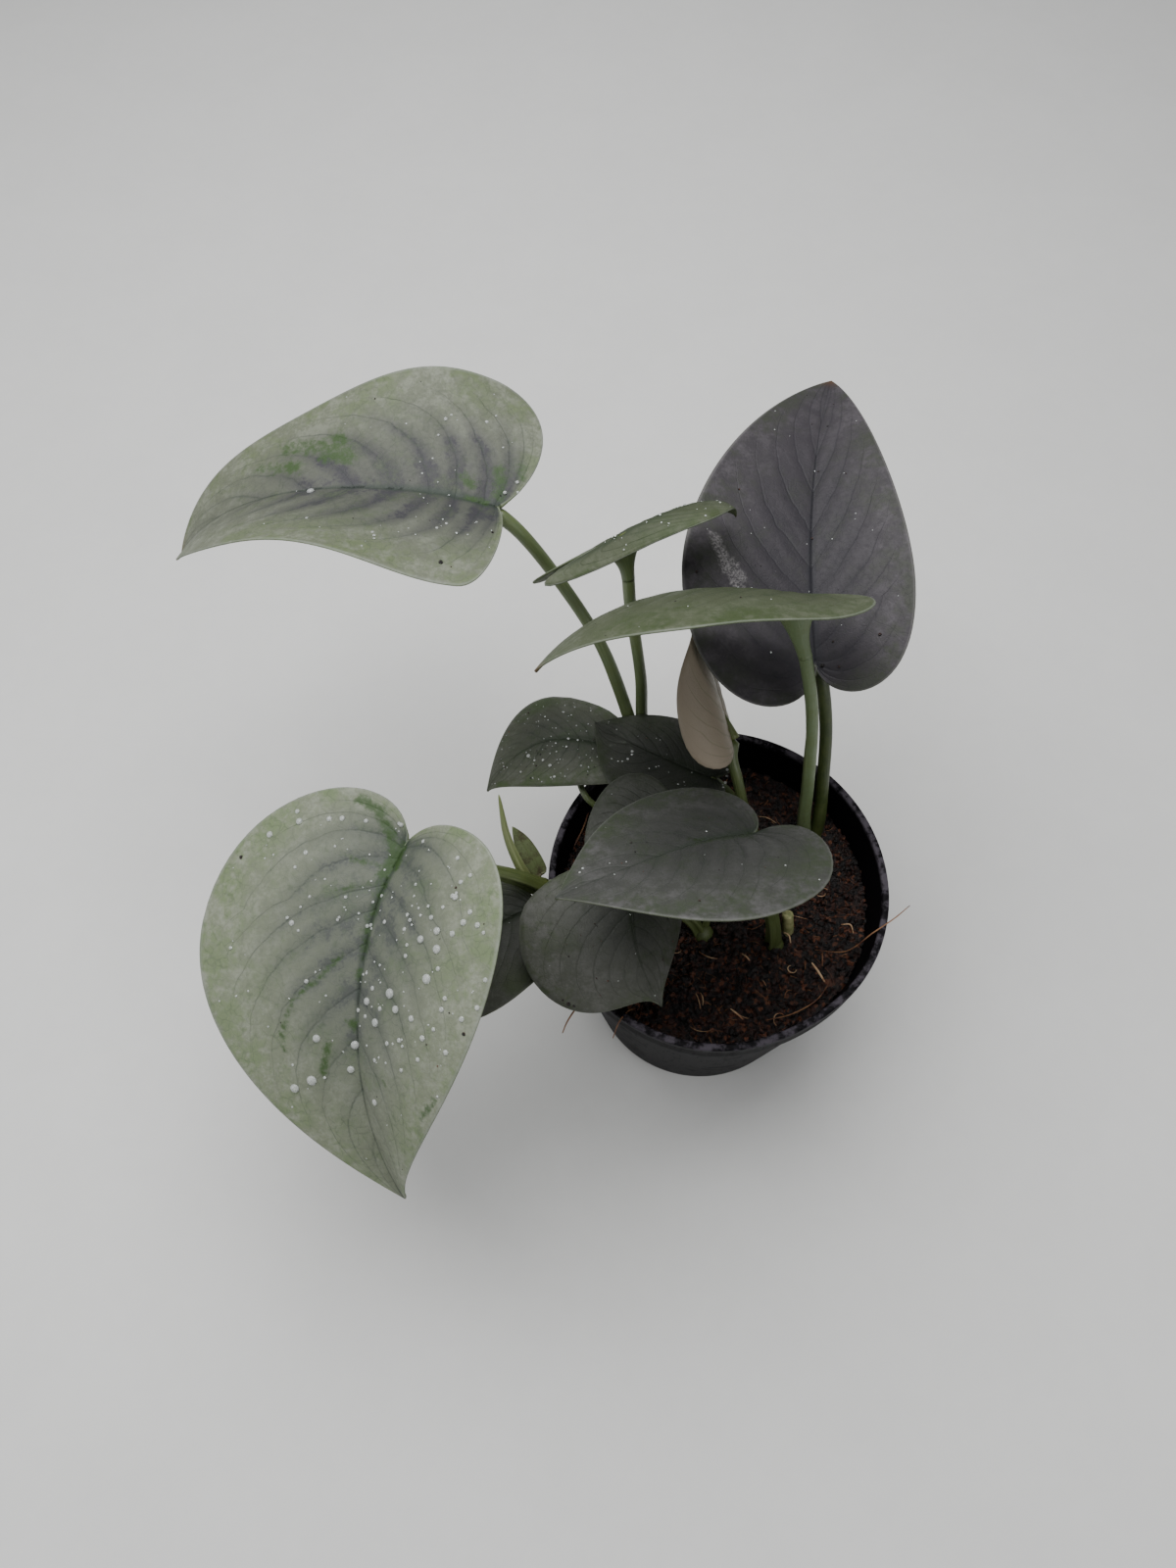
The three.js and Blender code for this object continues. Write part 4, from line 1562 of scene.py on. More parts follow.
LEAVES = {
    leaf.name: leaf
    for leaf in (
        Leaf(
            "leaf_back_left",
            BladeShape(
                (-56.5, 69, 146), 175, 3, 8, 91, (33.5, 34), (3, 9.5), widest=0.05, full=(0.4, 0.4), point=0,
                sinus=0.15, fold=(14, 14), curl=(-2, -2), droop=62, droop_power=2, sweep=-1,
                wave=-4, waves=1.2, phase=54,
            ),
            SILVER, Slot.SILVER, scorch=0.5, dew=34, dew_size=(0.12, 0.3), dew_heart=(8, 0, 24), grit=7,
            washes=(
                Streak(((39.7, -14.8), (38.4, -12.5)), 2), Streak(((43, -9.3), (36.2, -8.2)), 2.1),
                Streak(((53, -13.6), (38, -11.2)), 3.4, 0.7), Streak(((60, -9.5), (49, -6)), 2.2, 0.6),
                Streak(((51.4, -7.8), (49.6, -6.8)), 2), Streak(((8, -5.3), (6, -4)), 1.8, 0.9),
                Streak(((-0.2, -8.9), (-0.8, -2.8)), 2.2, 0.8), Streak(((-6, -7.5), (-5, -10)), 1.8, 0.7),
                Streak(((2, -0.6), (7, 0)), 1.2, 0.8),
            ),
            beads=(
                (44.7, 1, 0.97), (14.3, -19.9, 0.52), (13.1, -21.2, 0.33), (4.5, -21.3, 0.46),
                (2.5, -23.7, 0.33), (15.5, -15.4, 0.33), (16.1, -9, 0.3), (-4.7, -6.3, 0.45), (-2, -3.5, 0.5),
                (-5.1, -3.7, 0.4), (41.1, 15.6, 0.4), (25.2, 20.4, 0.4), (24.6, 21.6, 0.42),
                (24.4, 22.8, 0.3), (11.6, 15.3, 0.4), (9.7, 13.1, 0.4),
                (6.9, 16.2, 0.3), (3, 10.6, 0.3), (26.3, 26.5, 0.26),
            ),
            specks=((9, 27, 0.55), (6.5, 28, 0.2)),
        ),
        Leaf(
            "leaf_back_small",
            BladeShape(
                (-27, 59, 148), 51, 3, -37, 40, (16.5, 7.5), (16, 18), point=0.35, fold=(-15, -18),
                curl=(-29, -30), droop=66, sweep=-8, dimple=0, lobe_drop=-1,
            ),
            GREYGREEN, Slot.SILVER, scorch=1.0, dew=75, dew_size=(0.12, 0.36), grit=5,
        ),
        Leaf(
            "leaf_back_arched",
            BladeShape(
                (12.5, 44, 146), 180, 11, 52, 65, (27, 20), (15.5, 15), widest=0.4, full=(0.45, 0.45),
                point=0.2, tip_width=(0.35, 0.35), sinus=0, fold=(-2, -12), curl=(-22, -28), droop=58,
                droop_power=1.5, sweep=-1, dimple=0, lobe_drop=-12,
            ),
            GREYGREEN, Slot.SILVER, scorch=1.0, dew=10, dew_size=(0.12, 0.25), grit=5,
        ),
        Leaf(
            "leaf_back_large",
            BladeShape(
                (23, 44.5, 116), 87, 23, -12, 90.5, (33.5, 25.5), (12.5, 8), widest=0.2, full=(0.3, 0.3),
                point=0.15, tip_width=(0.35, 0.35), sinus=0, fold=(17, 6), curl=(11, 4), droop=40, sweep=2.5,
                lobe_drop=3,
            ),
            MAUVE, scorch=0.8, dew=22, dew_size=(0.12, 0.28), grit=14, vein_lead=(0.30, 0.12),
            # Pale streaks where water lies on this blade: painted highlight
            glares=(
                Streak(((27.8, 25.1), (23.1, 22.8), (19.9, 21.2), (17.7, 19.9), (15.9, 18)), 2.0, 1.0),
                Streak(((22.5, 20.6), (18.5, 17.4)), 1.6, 0.85),
                Streak(((21.8, 8.7),), 0.7, 0.9),
            ),
            washes=(Streak(((-4.8, -16), (3, -18)), 3, 0.4),),
            specks=(
                (18.3, 29.7, 0.4), (5.6, -16.4, 0.45), (4.4, -4.8, 0.3), (-1.9, -5.8, 0.35),
                (-1.5, -1.6, 0.5), (-0.6, 1.4, 0.4), (-2.6, 0.6, 0.3),
            ),
        ),
        Leaf(
            "leaf_inner_left",
            BladeShape(
                (-32.5, 36.5, 88), 196, -3, 11, 33.5, (15.5, 18.5), (7.5, 8.5), widest=0.2, point=0.25,
                tip_width=(0.35, 0.35), fold=(2, 2), curl=(-28, -28), droop=36, sweep=-5, lobe_drop=2,
            ),
            OLIVE, dew=90, dew_size=(0.1, 0.26), grit=26,
            beads=(
                (5.5, -9.8, 0.32), (3.7, -8.7, 0.26), (10.8, -8.6, 0.26), (18.4, 2.7, 0.55), (13.7, 8.3, 0.5),
                (13.7, 11.8, 0.44), (15, 6, 0.38), (17.2, 5, 0.32), (6.6, 0.2, 0.36), (4.3, 0.5, 0.32),
                (7.8, 3.2, 0.32), (5.7, 9.8, 0.32), (10.8, 4.6, 0.26), (21.9, 5.7, 0.32),
            ),
        ),
        Leaf(
            "leaf_middle",
            BladeShape(
                (-2.5, 25.5, 89.5), 152, 4, 3, 34, (18.5, 12), (6.5, 5), widest=0.3, point=0.2,
                tip_width=(0.35, 0.35), fold=(4, 5), curl=(4, 5), droop=13, sweep=2,
            ),
            SHADE_DARKEST, dew=26, dew_size=(0.1, 0.3), grit=10,
            beads=(
                (-3.7, -2.8, 0.4), (-4.4, -0.9, 0.3), (-4.9, 1.2, 0.42), (-5, 2.9, 0.3), (-4.6, 2.1, 0.22),
                (20.6, 2.4, 0.42), (20.2, 3.4, 0.3), (20.5, 5.2, 0.38), (21.4, 6.6, 0.26), (22.4, 7.2, 0.2),
            ),
            # A pale ring round the edge of the pool of water on this blade: painted highlight
            glares=(
                Streak(
                    ((26.6, 5), (25.8, 1.6), (23.2, 0.4), (20.9, 1.8), (20.2, 4.2), (21.4, 7), (24, 7.4)),
                    0.5, 0.8,
                ),
            ),
        ),
        Leaf(
            "leaf_rolled",
            BladeShape(
                (1.5, 30, 100), -70, 146, 78, 38, (12, 18), (2, 5), widest=0.15, full=(0.6, 0.6), sinus=0.3,
                fold=(-50, -10), curl=(165, 110), dimple=0,
            ),
            BEIGE, Slot.UNDERSIDE,
        ),
        Leaf(
            "leaf_centre_small",
            BladeShape(
                (-13.5, 4, 100), 198, 4, -3, 22.5, (14.5, 17), (6, 3), point=0.05, tip_width=(0.4, 0.4),
                fold=(3, 3), curl=(-5, -5), droop=16, sweep=-0.5,
            ),
            SHADE_DARKEST, dew=5, dew_size=(0.1, 0.25), grit=8,
        ),
        Leaf(
            "leaf_front",
            BladeShape(
                (4.5, -1, 111), 202, 20, 29, 53, (30.5, 22), (11, 5), point=0.25, tip_width=(0.35, 0.35),
                sinus=0, fold=(3, 4), curl=(-8, -6), droop=18, sweep=1, lobe_drop=-13,
            ),
            dew=10, dew_size=(0.1, 0.25), grit=12,
            beads=((43.4, -5, 0.35), (44.6, -4.2, 0.3)),
            washes=(
                Streak(((17.4, 0.6), (12.3, 0.7), (6.5, 0.3), (1, 2.9)), 0.9, 0.7),
                Streak(((0, 0.4), (8, 0.6)), 1.6, 0.65), Streak(((17.2, -1.7), (12.9, 0), (9, 2)), 0.7, 0.7),
                Streak(((24, 9), (30, 12)), 1.5, 0.3),
            ),
        ),
        Leaf(
            "leaf_low_front",
            BladeShape(
                (-22.5, -5, 94), -79, -4, 1, 33.5, (18, 28.5), (7, 5), widest=0.15, full=(0.4, 1.5),
                tip_width=(0.25, 0.1), fold=(-4, -4), curl=(-62, -8), droop=20, sweep=-3.5,
            ),
            SHADE_DARKENED, dew=7, dew_size=(0.1, 0.25), grit=24,
            specks=((28.8, -20.6, 0.5), (29.6, -19.6, 0.3), (27.6, -21.4, 0.3)),
        ),
        Leaf(
            "leaf_over_rim",
            BladeShape(
                (-49, -8, 80), 221, -8, 2, 49, (19.5, 14), (3.5, 1.5), widest=0.35, fold=(5, 5), curl=(1, 0),
                droop=15, sweep=-3.5,
            ),
            SHADE_DARKENED, dew=8, dew_size=(0.1, 0.3), grit=10,
        ),
        Leaf(
            "leaf_trailing",
            BladeShape(
                (-78.5, -4.5, 109), -102, -8, 21, 92, (39, 44.5), (4.5, 12), full=(0.4, 0.4), sinus=0,
                fold=(21, 21), curl=(-24, -24), droop=57, sweep=-5, lobe_drop=1,
            ),
            PALE_SILVER, Slot.SILVER, dew=130, dew_size=(0.16, 0.52), dew_heart=(24, 12, 30), grit=9,
            washes=(
                Streak(((-9.5, -14), (-8, -9), (-3.3, -4.4), (0.5, -2.2)), 1.7, 0.9),
                Streak(((0, -0.6), (7, -1.2)), 2.2), Streak(((0, 0), (12, 0.1), (26, 0)), 2.1, 0.62),
                Streak(((5, -2), (4, -12)), 1.2, 0.6),
                Streak(((0.5, -1), (5, 1.5)), 1.5), Streak(((5.5, -9), (5.5, -3.8)), 0.6, 0.7),
                Streak(((13.5, -16.5), (10, -1.5)), 0.6, 0.7), Streak(((48.3, -7.2), (55.2, -9)), 1.1, 0.9),
                Streak(((26.7, -5), (33.3, -10.4), (38.3, -16.3), (46.2, -18.7), (50, -18.5)), 0.75, 0.9),
                Streak(((43, -1),), 2, 0.9), Streak(((30.9, -0.4),), 1.8, 0.8),
                Streak(((54.7, 9.2),), 1, 0.8), Streak(((60.6, 20.3), (54.9, 25.1)), 1.1, 0.8),
            ),
            beads=(
                (-4.5, -28.6, 0.66), (-2.1, -26.8, 0.88), (-3.7, -19.4, 0.73), (-4.3, -16.3, 0.72),
                (-4.7, -10.5, 0.58), (-5.5, -2.5, 0.58), (1.9, -33.1, 0.88), (5, -21.4, 0.65),
                (21.1, -19.2, 0.72), (-1.3, 7.5, 0.56), (2.9, 21.4, 0.61), (6.5, 26.7, 0.54),
                (11.4, 24.7, 0.81), (16.5, 28.8, 0.8), (18.9, 22.3, 0.94), (19.1, 26.7, 0.74),
                (19.4, 12.5, 0.55), (21.1, 18.2, 0.95), (22.7, 23.4, 1.08), (18.3, 5.1, 0.56),
                (25.1, 14.7, 0.55), (26.7, 24.8, 0.6), (29.2, 22.1, 1.21), (33.6, 5.2, 0.63),
                (33.8, 11.4, 1.24), (36.9, 3.5, 0.98), (37.7, 8.5, 0.62), (37, 13.7, 0.96), (39.6, 0.3, 0.57),
                (40.5, 3.2, 0.56), (41.2, 7, 1.05), (33.8, -13, 0.57), (46.9, -10, 1), (48.1, -0.6, 1.07),
                (54.2, -2.1, 0.93), (50.1, 6.6, 0.56), (43.6, 15.3, 0.62), (32.6, 27.8, 0.6),
                (33.5, 36.3, 0.66), (57.2, -12.2, 1.29), (59.4, -17, 1.16), (61.1, 4.5, 0.85),
                (16.2, 19.7, 0.6), (13.8, 22.2, 0.5), (11.2, 23.9, 0.62), (8.1, 24.8, 0.6),
                (14.2, 29.8, 0.66), (16.7, 32.6, 0.72), (27.6, 37.4, 0.6),
                (36.3, 32.7, 0.7), (35, 27.2, 0.66), (38.2, 18.8, 0.8),
                (41.9, 22.3, 0.75), (43.9, 28.9, 0.7), (46.8, 21, 0.62), (39.5, 25.4, 0.55),
                (50.3, 15.7, 0.55), (45.1, 11.3, 0.6),
            ),
            specks=((7.8, -38.6, 0.5), (39.3, 33.5, 0.45)),
        ),
    )
}


# What lies on the blades


@dataclass
class Sprinkle:
    """Small rounded bodies that lie on the blades: water drops or grit."""

    name: str
    finish: Finish
    slot: Slot | None
    tall: float
    ragged: float

    def build(self, places: Sequence[tuple[Leaf, Point]]) -> Object:
        """Set a body on each place with a geometry node tree.

        Args:
            places: Each body's leaf, and its x, y and radius on that blade.

        Returns:
            The piece.
        """
        spots = [leaf.shape.touch(x, y) for leaf, (x, y, _) in places]
        mesh = bpy.data.meshes.new(self.name + "_places")
        mesh.from_pydata([tuple(spot * MM) for spot, _ in spots], [], [])
        upright = mesh.attributes.new("upright", "FLOAT_VECTOR", "POINT")
        upright.data.foreach_set("vector", np.array([normal for _, normal in spots], np.float32).ravel())
        size = mesh.attributes.new("size", "FLOAT", "POINT")
        size.data.foreach_set("value", np.array([radius * MM for _, (_, _, radius) in places], np.float32))
        source = linked(self.name + "_places", mesh)
        inputs = {"Tall": self.tall, "Ragged": self.ragged * MM, "Material": self.finish.build()}
        return settle(grow(source, body_tree(), self.name, inputs), self.slot)


def body_tree() -> NodeTree:
    """A geometry tree that sets a flattened ball on each point, by the attributes size and upright.

    Returns:
        The tree.
    """
    known = bpy.data.node_groups.get("small_bodies")
    if known:
        return known
    inputs = {"Geometry": "Geometry", "Tall": 0.5, "Ragged": 0.0, "Material": "Material"}
    tree, given, out = new_group("small_bodies", "GeometryNodeTree", inputs, ["Geometry"])
    size = tree.named("size")
    upright = tree.named("upright", "FLOAT_VECTOR")
    turned = tree.add("FunctionNodeAlignRotationToVector", {"axis": "Z"}, Vector=upright).outputs[0]
    lower = tree.maths("MINIMUM", tree.times(size, given["Tall"]), TALLEST_BODY * MM)
    scale = tree.add("ShaderNodeCombineXYZ", i0=size, i1=size, i2=lower).outputs[0]
    balls = rough_balls(tree, given["Geometry"], 2, scale, turned, (1100.0, given["Ragged"]))
    finish_tree(tree, out, balls, given["Material"])
    return tree.tree


def rough_balls(
    tree: Tree, points: object, subdivisions: int, scale: object, rotation: object,
    rough: tuple[float, object],
) -> NodeSocket:
    """Set a ball on each point of a geometry tree and roughen it with a noise.

    Args:
        tree: The tree.
        points: The points.
        subdivisions: How fine the balls are.
        scale: Each ball's size.
        rotation: Each ball's rotation.
        rough: The noise's scale and reach.

    Returns:
        The geometry of the balls.
    """
    ball = tree.add("GeometryNodeMeshIcoSphere", Radius=1.0, Subdivisions=subdivisions).outputs[0]
    spots = {"Points": points, "Scale": scale, "Rotation": rotation}
    placed = tree.add("GeometryNodeInstanceOnPoints", Instance=ball, **spots)
    real = tree.add("GeometryNodeRealizeInstances", i0=placed.outputs[0]).outputs[0]
    noise_colour = tree.add("ShaderNodeTexNoise", Scale=rough[0], Detail=1.0).outputs[1]
    offset = tree.scaled(tree.vector("SUBTRACT", noise_colour, (0.5, 0.5, 0.5)), rough[1])
    return tree.add("GeometryNodeSetPosition", i0=real, Offset=offset).outputs[0]


def dress_blades() -> None:
    """Lay the dew and the grit on all blades."""
    draw = np.random.default_rng(DEW_SEED)
    leaves = LEAVES.values()
    small = [(leaf, spot) for leaf in leaves for spot in leaf.sprinkled(leaf.dew, leaf.dew_size, draw)]
    large = [(leaf, spot) for leaf in leaves for spot in leaf.beads]
    Sprinkle("dew_drops", WATER, None, 0.55, 0.04).build(small + large)
    loose = [(leaf, spot) for leaf in leaves for spot in leaf.sprinkled(leaf.grit, (0.12, 0.3), draw)]
    named = [(leaf, spot) for leaf in leaves for spot in leaf.specks]
    Sprinkle("leaf_grit", MIX, Slot.MIX, 0.7, 0.3).build(loose + named)


# Stems


@dataclass
class Petiole:
    """A leaf stalk: a channelled, sheathed foot and a swollen joint under its blade.

    A swell is a share of the radius, and how far it reaches in millimetres.
    """

    radius: float
    route: tuple[Point, ...]
    sheath: float = 0.45
    funnel: Pair | None = None
    tone: float = 0.0
    foot_swell: Pair = (0.42, 8)
    joint_swell: Pair = (0.12, 4.5)
    waist: float = 0.07
    keel_share: float = 0.24

    def build(self, shape: BladeShape) -> list[Shell]:
        """Sweep the stalk up to its blade, and the keel that fades out along the midrib.

        Args:
            shape: The blade on it.

        Returns:
            The shells of the stalk and the keel.
        """
        seat = shape.under(0, UNDER_BLADE + self.radius * 1.02)
        route = (*self.route, tuple(seat))
        total = length_of(catmull(route, 40))

        def radius(share: np.ndarray) -> np.ndarray:
            """Swell at the foot and at the joint, and round the end off.

            Args:
                share: Shares of the way along the stalk.

            Returns:
                The radius at each.
            """
            base = 1 + self.foot_swell[0] * np.exp(-share * total / self.foot_swell[1])
            base -= self.waist * np.sin(share * math.pi)
            joint = hollow(self.joint_swell, (1 - share) * total)
            past = np.clip((share - 1) * total / self.radius + 1, 0, 1)
            return self.radius * (base + joint) * np.sqrt(np.clip(1 - past**2, 0.02, 1))

        def channel(share: np.ndarray) -> np.ndarray:
            """Fade the channel out at the end of the sheath."""
            return np.clip((self.sheath - share) / 0.12 + 1, 0, 1)

        stalk = Tube(route, radius, up=self.facing(shape), channel=channel).build()
        reach = self.keel_share * shape.length
        depths = ((step, UNDER_BLADE + self.radius * (1.02 - 0.85 * step)) for step in np.linspace(0, 1, 5))
        below = tuple(tuple(shape.under(step * reach, depth)) for step, depth in depths)
        keel = Tube(below, lambda share: self.radius * (1.05 - 0.88 * share), sides=16).build()
        return [stalk, keel] + ([self.widened(shape, catmull(route, 60))] if self.funnel else [])

    def widened(self, shape: BladeShape, line: np.ndarray, rows: int = 14, sides: int = 28) -> Shell:
        """Widen the top of the stalk to the blade's underside, as a closed shell.

        Args:
            shape: The blade.
            line: The stalk's centre line up to its seat.
            rows: Rows from the stalk to the blade.
            sides: Points round each row.

        Returns:
            The shell's points, faces and values.
        """
        away = np.linalg.norm(line - line[-1], axis=1)
        start = line[int(np.argmin(np.abs(away - 1.9 * self.funnel[0])))]
        end = line[-1]
        ahead = (end - start) / np.linalg.norm(end - start)
        turn = np.linspace(0, 2 * math.pi, sides, endpoint=False)
        axes = shape.turned()
        flat = np.outer(np.cos(turn), axes[:, 0]) + np.outer(np.sin(turn), axes[:, 1])
        flat -= np.outer(flat @ ahead, ahead)
        flat *= self.radius * 1.02 / np.linalg.norm(flat, axis=1, keepdims=True)
        x, y = self.funnel[0] * np.cos(turn), self.funnel[1] * np.sin(turn)
        ring = [shape.face(0 if b >= 0 else 1, np.array([a]), np.array([abs(b)]))[0] for a, b in zip(x, y)]
        upper = shape.place(np.array(ring) - np.array([0, 0, 0.5])) - end
        points = []
        for share in np.linspace(0, 1, rows):
            pull = share**2.4
            points.append(start + (end - start) * share + flat * (1 - pull) + upper * pull)
        points = np.vstack([*points, start, end + upper.mean(0)])
        blank = np.zeros(len(points))
        values = {
            "around": np.concatenate([np.tile(np.cos(turn) * 0.5 + 0.5, rows), [0.5, 0.5]]),
            "length": np.concatenate([np.repeat(np.linspace(0, 9, rows), sides), [0, 9]]),
            "ridge": blank, "foot": blank,
        }
        return points, closed_band(rows, sides), values

    def facing(self, shape: BladeShape) -> Point:
        """The side of the stalk that its channel is on: towards the middle of the blade's upper face."""
        ahead = shape.turned() @ np.array([1.0, 0, 0])
        return (float(ahead[0]), float(ahead[1]), 0.3)


@dataclass
class Stem:
    """The petioles of one crown, with the crown itself and what runner carries them.

    A node of the runner is its place and half width as shares of the length, and its swell.
    """

    name: str
    crown: Pair
    radius: float
    petioles: dict[str, Petiole]
    runner: tuple[Point, ...] = ()
    runner_radius: float = 2.0
    nodes: tuple[Point, ...] = ((0.93, 0.05, 1), (0.45, 0.035, 0.8))

    def build(self, soil: "PottingMix") -> Object:
        """Build the stem as one piece.

        Args:
            soil: The potting mix that it stands in.

        Returns:
            The stem piece.
        """
        parts = [
            (points, faces, {**values, "tone": np.full(len(points), petiole.tone)})
            for name, petiole in self.petioles.items()
            for points, faces, values in petiole.build(LEAVES[name].shape)
        ]
        parts.append(self.crown_shell(soil))
        if self.runner:
            parts.append(Tube(self.runner, self.runner_swell).build())
        shells = [(points, faces, {"tone": np.zeros(len(points)), **rows}) for points, faces, rows in parts]
        points, faces, values = joined(shells)
        skin = mesh_object(self.name + "_skin", points, faces, STALK, values)
        return settle(skin, Slot.PETIOLE, self.name)

    def runner_swell(self, share: np.ndarray) -> np.ndarray:
        """The runner's radius: swollen at its nodes and rounded at its end."""
        swell = sum(height * np.exp(-(((share - place) / width) ** 2)) for place, width, height in self.nodes)
        return self.runner_radius * (1 + 0.14 * swell) * np.sqrt(np.clip((1.005 - share) * 14, 0.04, 1))

    def crown_shell(self, soil: "PottingMix") -> Shell:
        """A rounded crown that sinks into the mix.

        Args:
            soil: The potting mix.

        Returns:
            The crown's shell.
        """
        x, y = self.crown
        foot = soil.top - soil.hole_depth + 0.3
        route = ((x, y, foot), (x, y, (foot + soil.top) / 2), (x, y, soil.top + 2.4))

        def radius(share: np.ndarray) -> np.ndarray:
            """Keep the crown even below and round its top off."""
            return self.radius * np.sqrt(np.clip(1 - np.clip((share - 0.62) / 0.38, 0, 1) ** 2, 0.03, 1))

        return Tube(route, radius, up=(1, 0, 0), step=0.5).build()


STEMS = (
    Stem(
        "stem_back_pair", (-16.2, 31), 3.4,
        {
            "leaf_back_left": Petiole(1.7, (
                (-17, 31, 60), (-17.2, 31.7, 67), (-18.5, 34, 75), (-20.5, 38, 81), (-24, 45.5, 91),
                (-31, 53.5, 109.5), (-43, 63, 127.5), (-51.5, 66.5, 140)), tone=0.35),
            "leaf_back_small": Petiole(1.6, (
                (-15.5, 31, 60), (-15.8, 31.7, 67), (-17, 35, 75), (-18, 38.5, 80.5), (-19.5, 43, 86),
                (-20.5, 47, 104), (-24, 52, 131), (-25, 57, 142)), funnel=(5.5, 4), tone=0.45),
        },
    ),
    Stem(
        "stem_right_pair", (27.6, 20), 4,
        {
            "leaf_back_arched": Petiole(1.7, (
                (27, 20.5, 60), (24.5, 19.5, 75), (23.5, 22.5, 90), (21.5, 30, 113), (18, 35.5, 129),
                (14, 41, 141.5)), funnel=(8.5, 5.5), tone=0.9),
            "leaf_back_large": Petiole(1.8, (
                (29, 19.5, 60), (29, 21.5, 74), (28.5, 25.5, 84), (27.5, 34.5, 100), (25, 41.5, 111.5),
            ), tone=-0.8),
        },
    ),
    Stem(
        "stem_middle_pair", (10.5, 21), 3.2,
        {
            "leaf_middle": Petiole(1.2, ((10.5, 21, 60), (9, 22, 70), (5, 23.5, 80), (0, 24.5, 87))),
            "leaf_rolled": Petiole(1.5, (
                (11, 21, 60), (9, 19.5, 75), (6.5, 19.5, 86), (4.5, 22, 94), (2.8, 26.5, 98.5))),
        },
    ),
    Stem(
        "stem_low_pair", (-3.7, -9.4), 3.4,
        {
            "leaf_centre_small": Petiole(1.2, (
                (-3.5, -9, 60), (-3, -7.5, 67), (-2.5, -4.5, 74), (-4, 1, 84), (-7.5, 3, 92), (-12, 3.5, 97),
            )),
            "leaf_low_front": Petiole(1.6, (
                (-3.5, -10.5, 60), (-6, -8.5, 69.5), (-12.5, -6.5, 77.5), (-18.5, -5.5, 86), (-21.5, -5, 91),
            )),
        },
    ),
    Stem(
        "stem_front", (15.7, -12.7), 2.6,
        {
            "leaf_front": Petiole(1.8, (
                (16, -13, 60), (14, -11, 76), (11, -8, 88), (8, -5, 99), (5.5, -2.5, 107.5))),
        },
    ),
    Stem(
        "stem_thin", (-19.7, 13), 2,
        {
            "leaf_inner_left": Petiole(0.9, (
                (-19.5, 13, 60), (-22, 14.5, 71), (-27.5, 18, 79), (-34.5, 22, 83), (-36.5, 28, 84),
                (-34, 33, 85.5))),
        },
    ),
    Stem(
        "stem_trailing", (-23.4, 3.6), 3.6,
        {
            "leaf_trailing": Petiole(1.8, (
                (-46, -3, 81.5), (-53, -3.5, 90), (-64, -5, 100), (-75, -5.5, 106.5)), sheath=0.7),
            "leaf_over_rim": Petiole(1.2, ((-45, -3.5, 81), (-47.5, -6, 79.5))),
        },
        runner=(
            (-22.5, 4, 60), (-24, 3, 67), (-28, 0.5, 73), (-34, -2.5, 78), (-40.5, -3.5, 81.5),
            (-46.5, -3, 81.5),
        ),
    ),
)


@dataclass
class NewGrowth:
    """The rolled new leaf, the dry sheath behind it and the stub of a cut petiole."""

    shoot_radius: float = 1.3
    shoot_route: tuple[Point, ...] = ((-49.5, -2.5, 84.5), (-52, 0, 90.5), (-54.5, 4, 98), (-56, 10, 109))
    stub_radius: float = 1.5
    stub_foot: Pair = (19.3, -9)
    stub_top: Point = (18.4, -7, 73)
    sheath: BladeShape = field(default_factory=lambda: BladeShape(
        (-46.3, -0.5, 85.1), 131, 46, -6, 15, (2.4, 2.4), (0.5, 0.5), widest=0.35, tip_width=(0.6, 0.6),
        sinus=0.5, fold=(-8, -8), curl=(-10, -10), dimple=0))

    def build(self, soil: "PottingMix") -> list[Object]:
        """Build the three pieces.

        Args:
            soil: The potting mix that the stub stands in.

        Returns:
            The pieces.
        """
        spike = Tube(
            self.shoot_route, lambda share: self.shoot_radius * (1 - share) ** 0.6 + 0.12,
            channel=lambda share: 0.9 * (1 - share) ** 0.5, up=(1, -0.4, 0.2), step=0.6,
        ).build()
        shoot = settle(mesh_object("new_shoot_spike", *spike[:2], SHOOT, spike[2]), Slot.SHOOT, "new_shoot")
        x, y = self.stub_foot
        route = ((x, y, soil.top - 9), (x, y, soil.top - 5), (x, y, soil.top), self.stub_top)
        ends = Tube(route, self.stub_swell, up=(1, 0, 0), step=0.5).build()
        stub = settle(mesh_object("cut_petiole_stub", *ends[:2], CUT, ends[2]), Slot.STUB, "cut_petiole")
        papery = Leaf("bud_sheath", self.sheath, PAPERY, Slot.SHEATH, thickness=0.7, margin_thickness=0.3)
        return [shoot, stub, papery.build()]

    def stub_swell(self, share: np.ndarray) -> np.ndarray:
        """The stub's radius: a little thicker below, with a slightly rounded cut."""
        rounded = np.sqrt(np.clip((1.0015 - share) * 60, 0.5, 1))
        return self.stub_radius * (1 + 0.12 * (1 - share)) * rounded


# Pot and potting mix


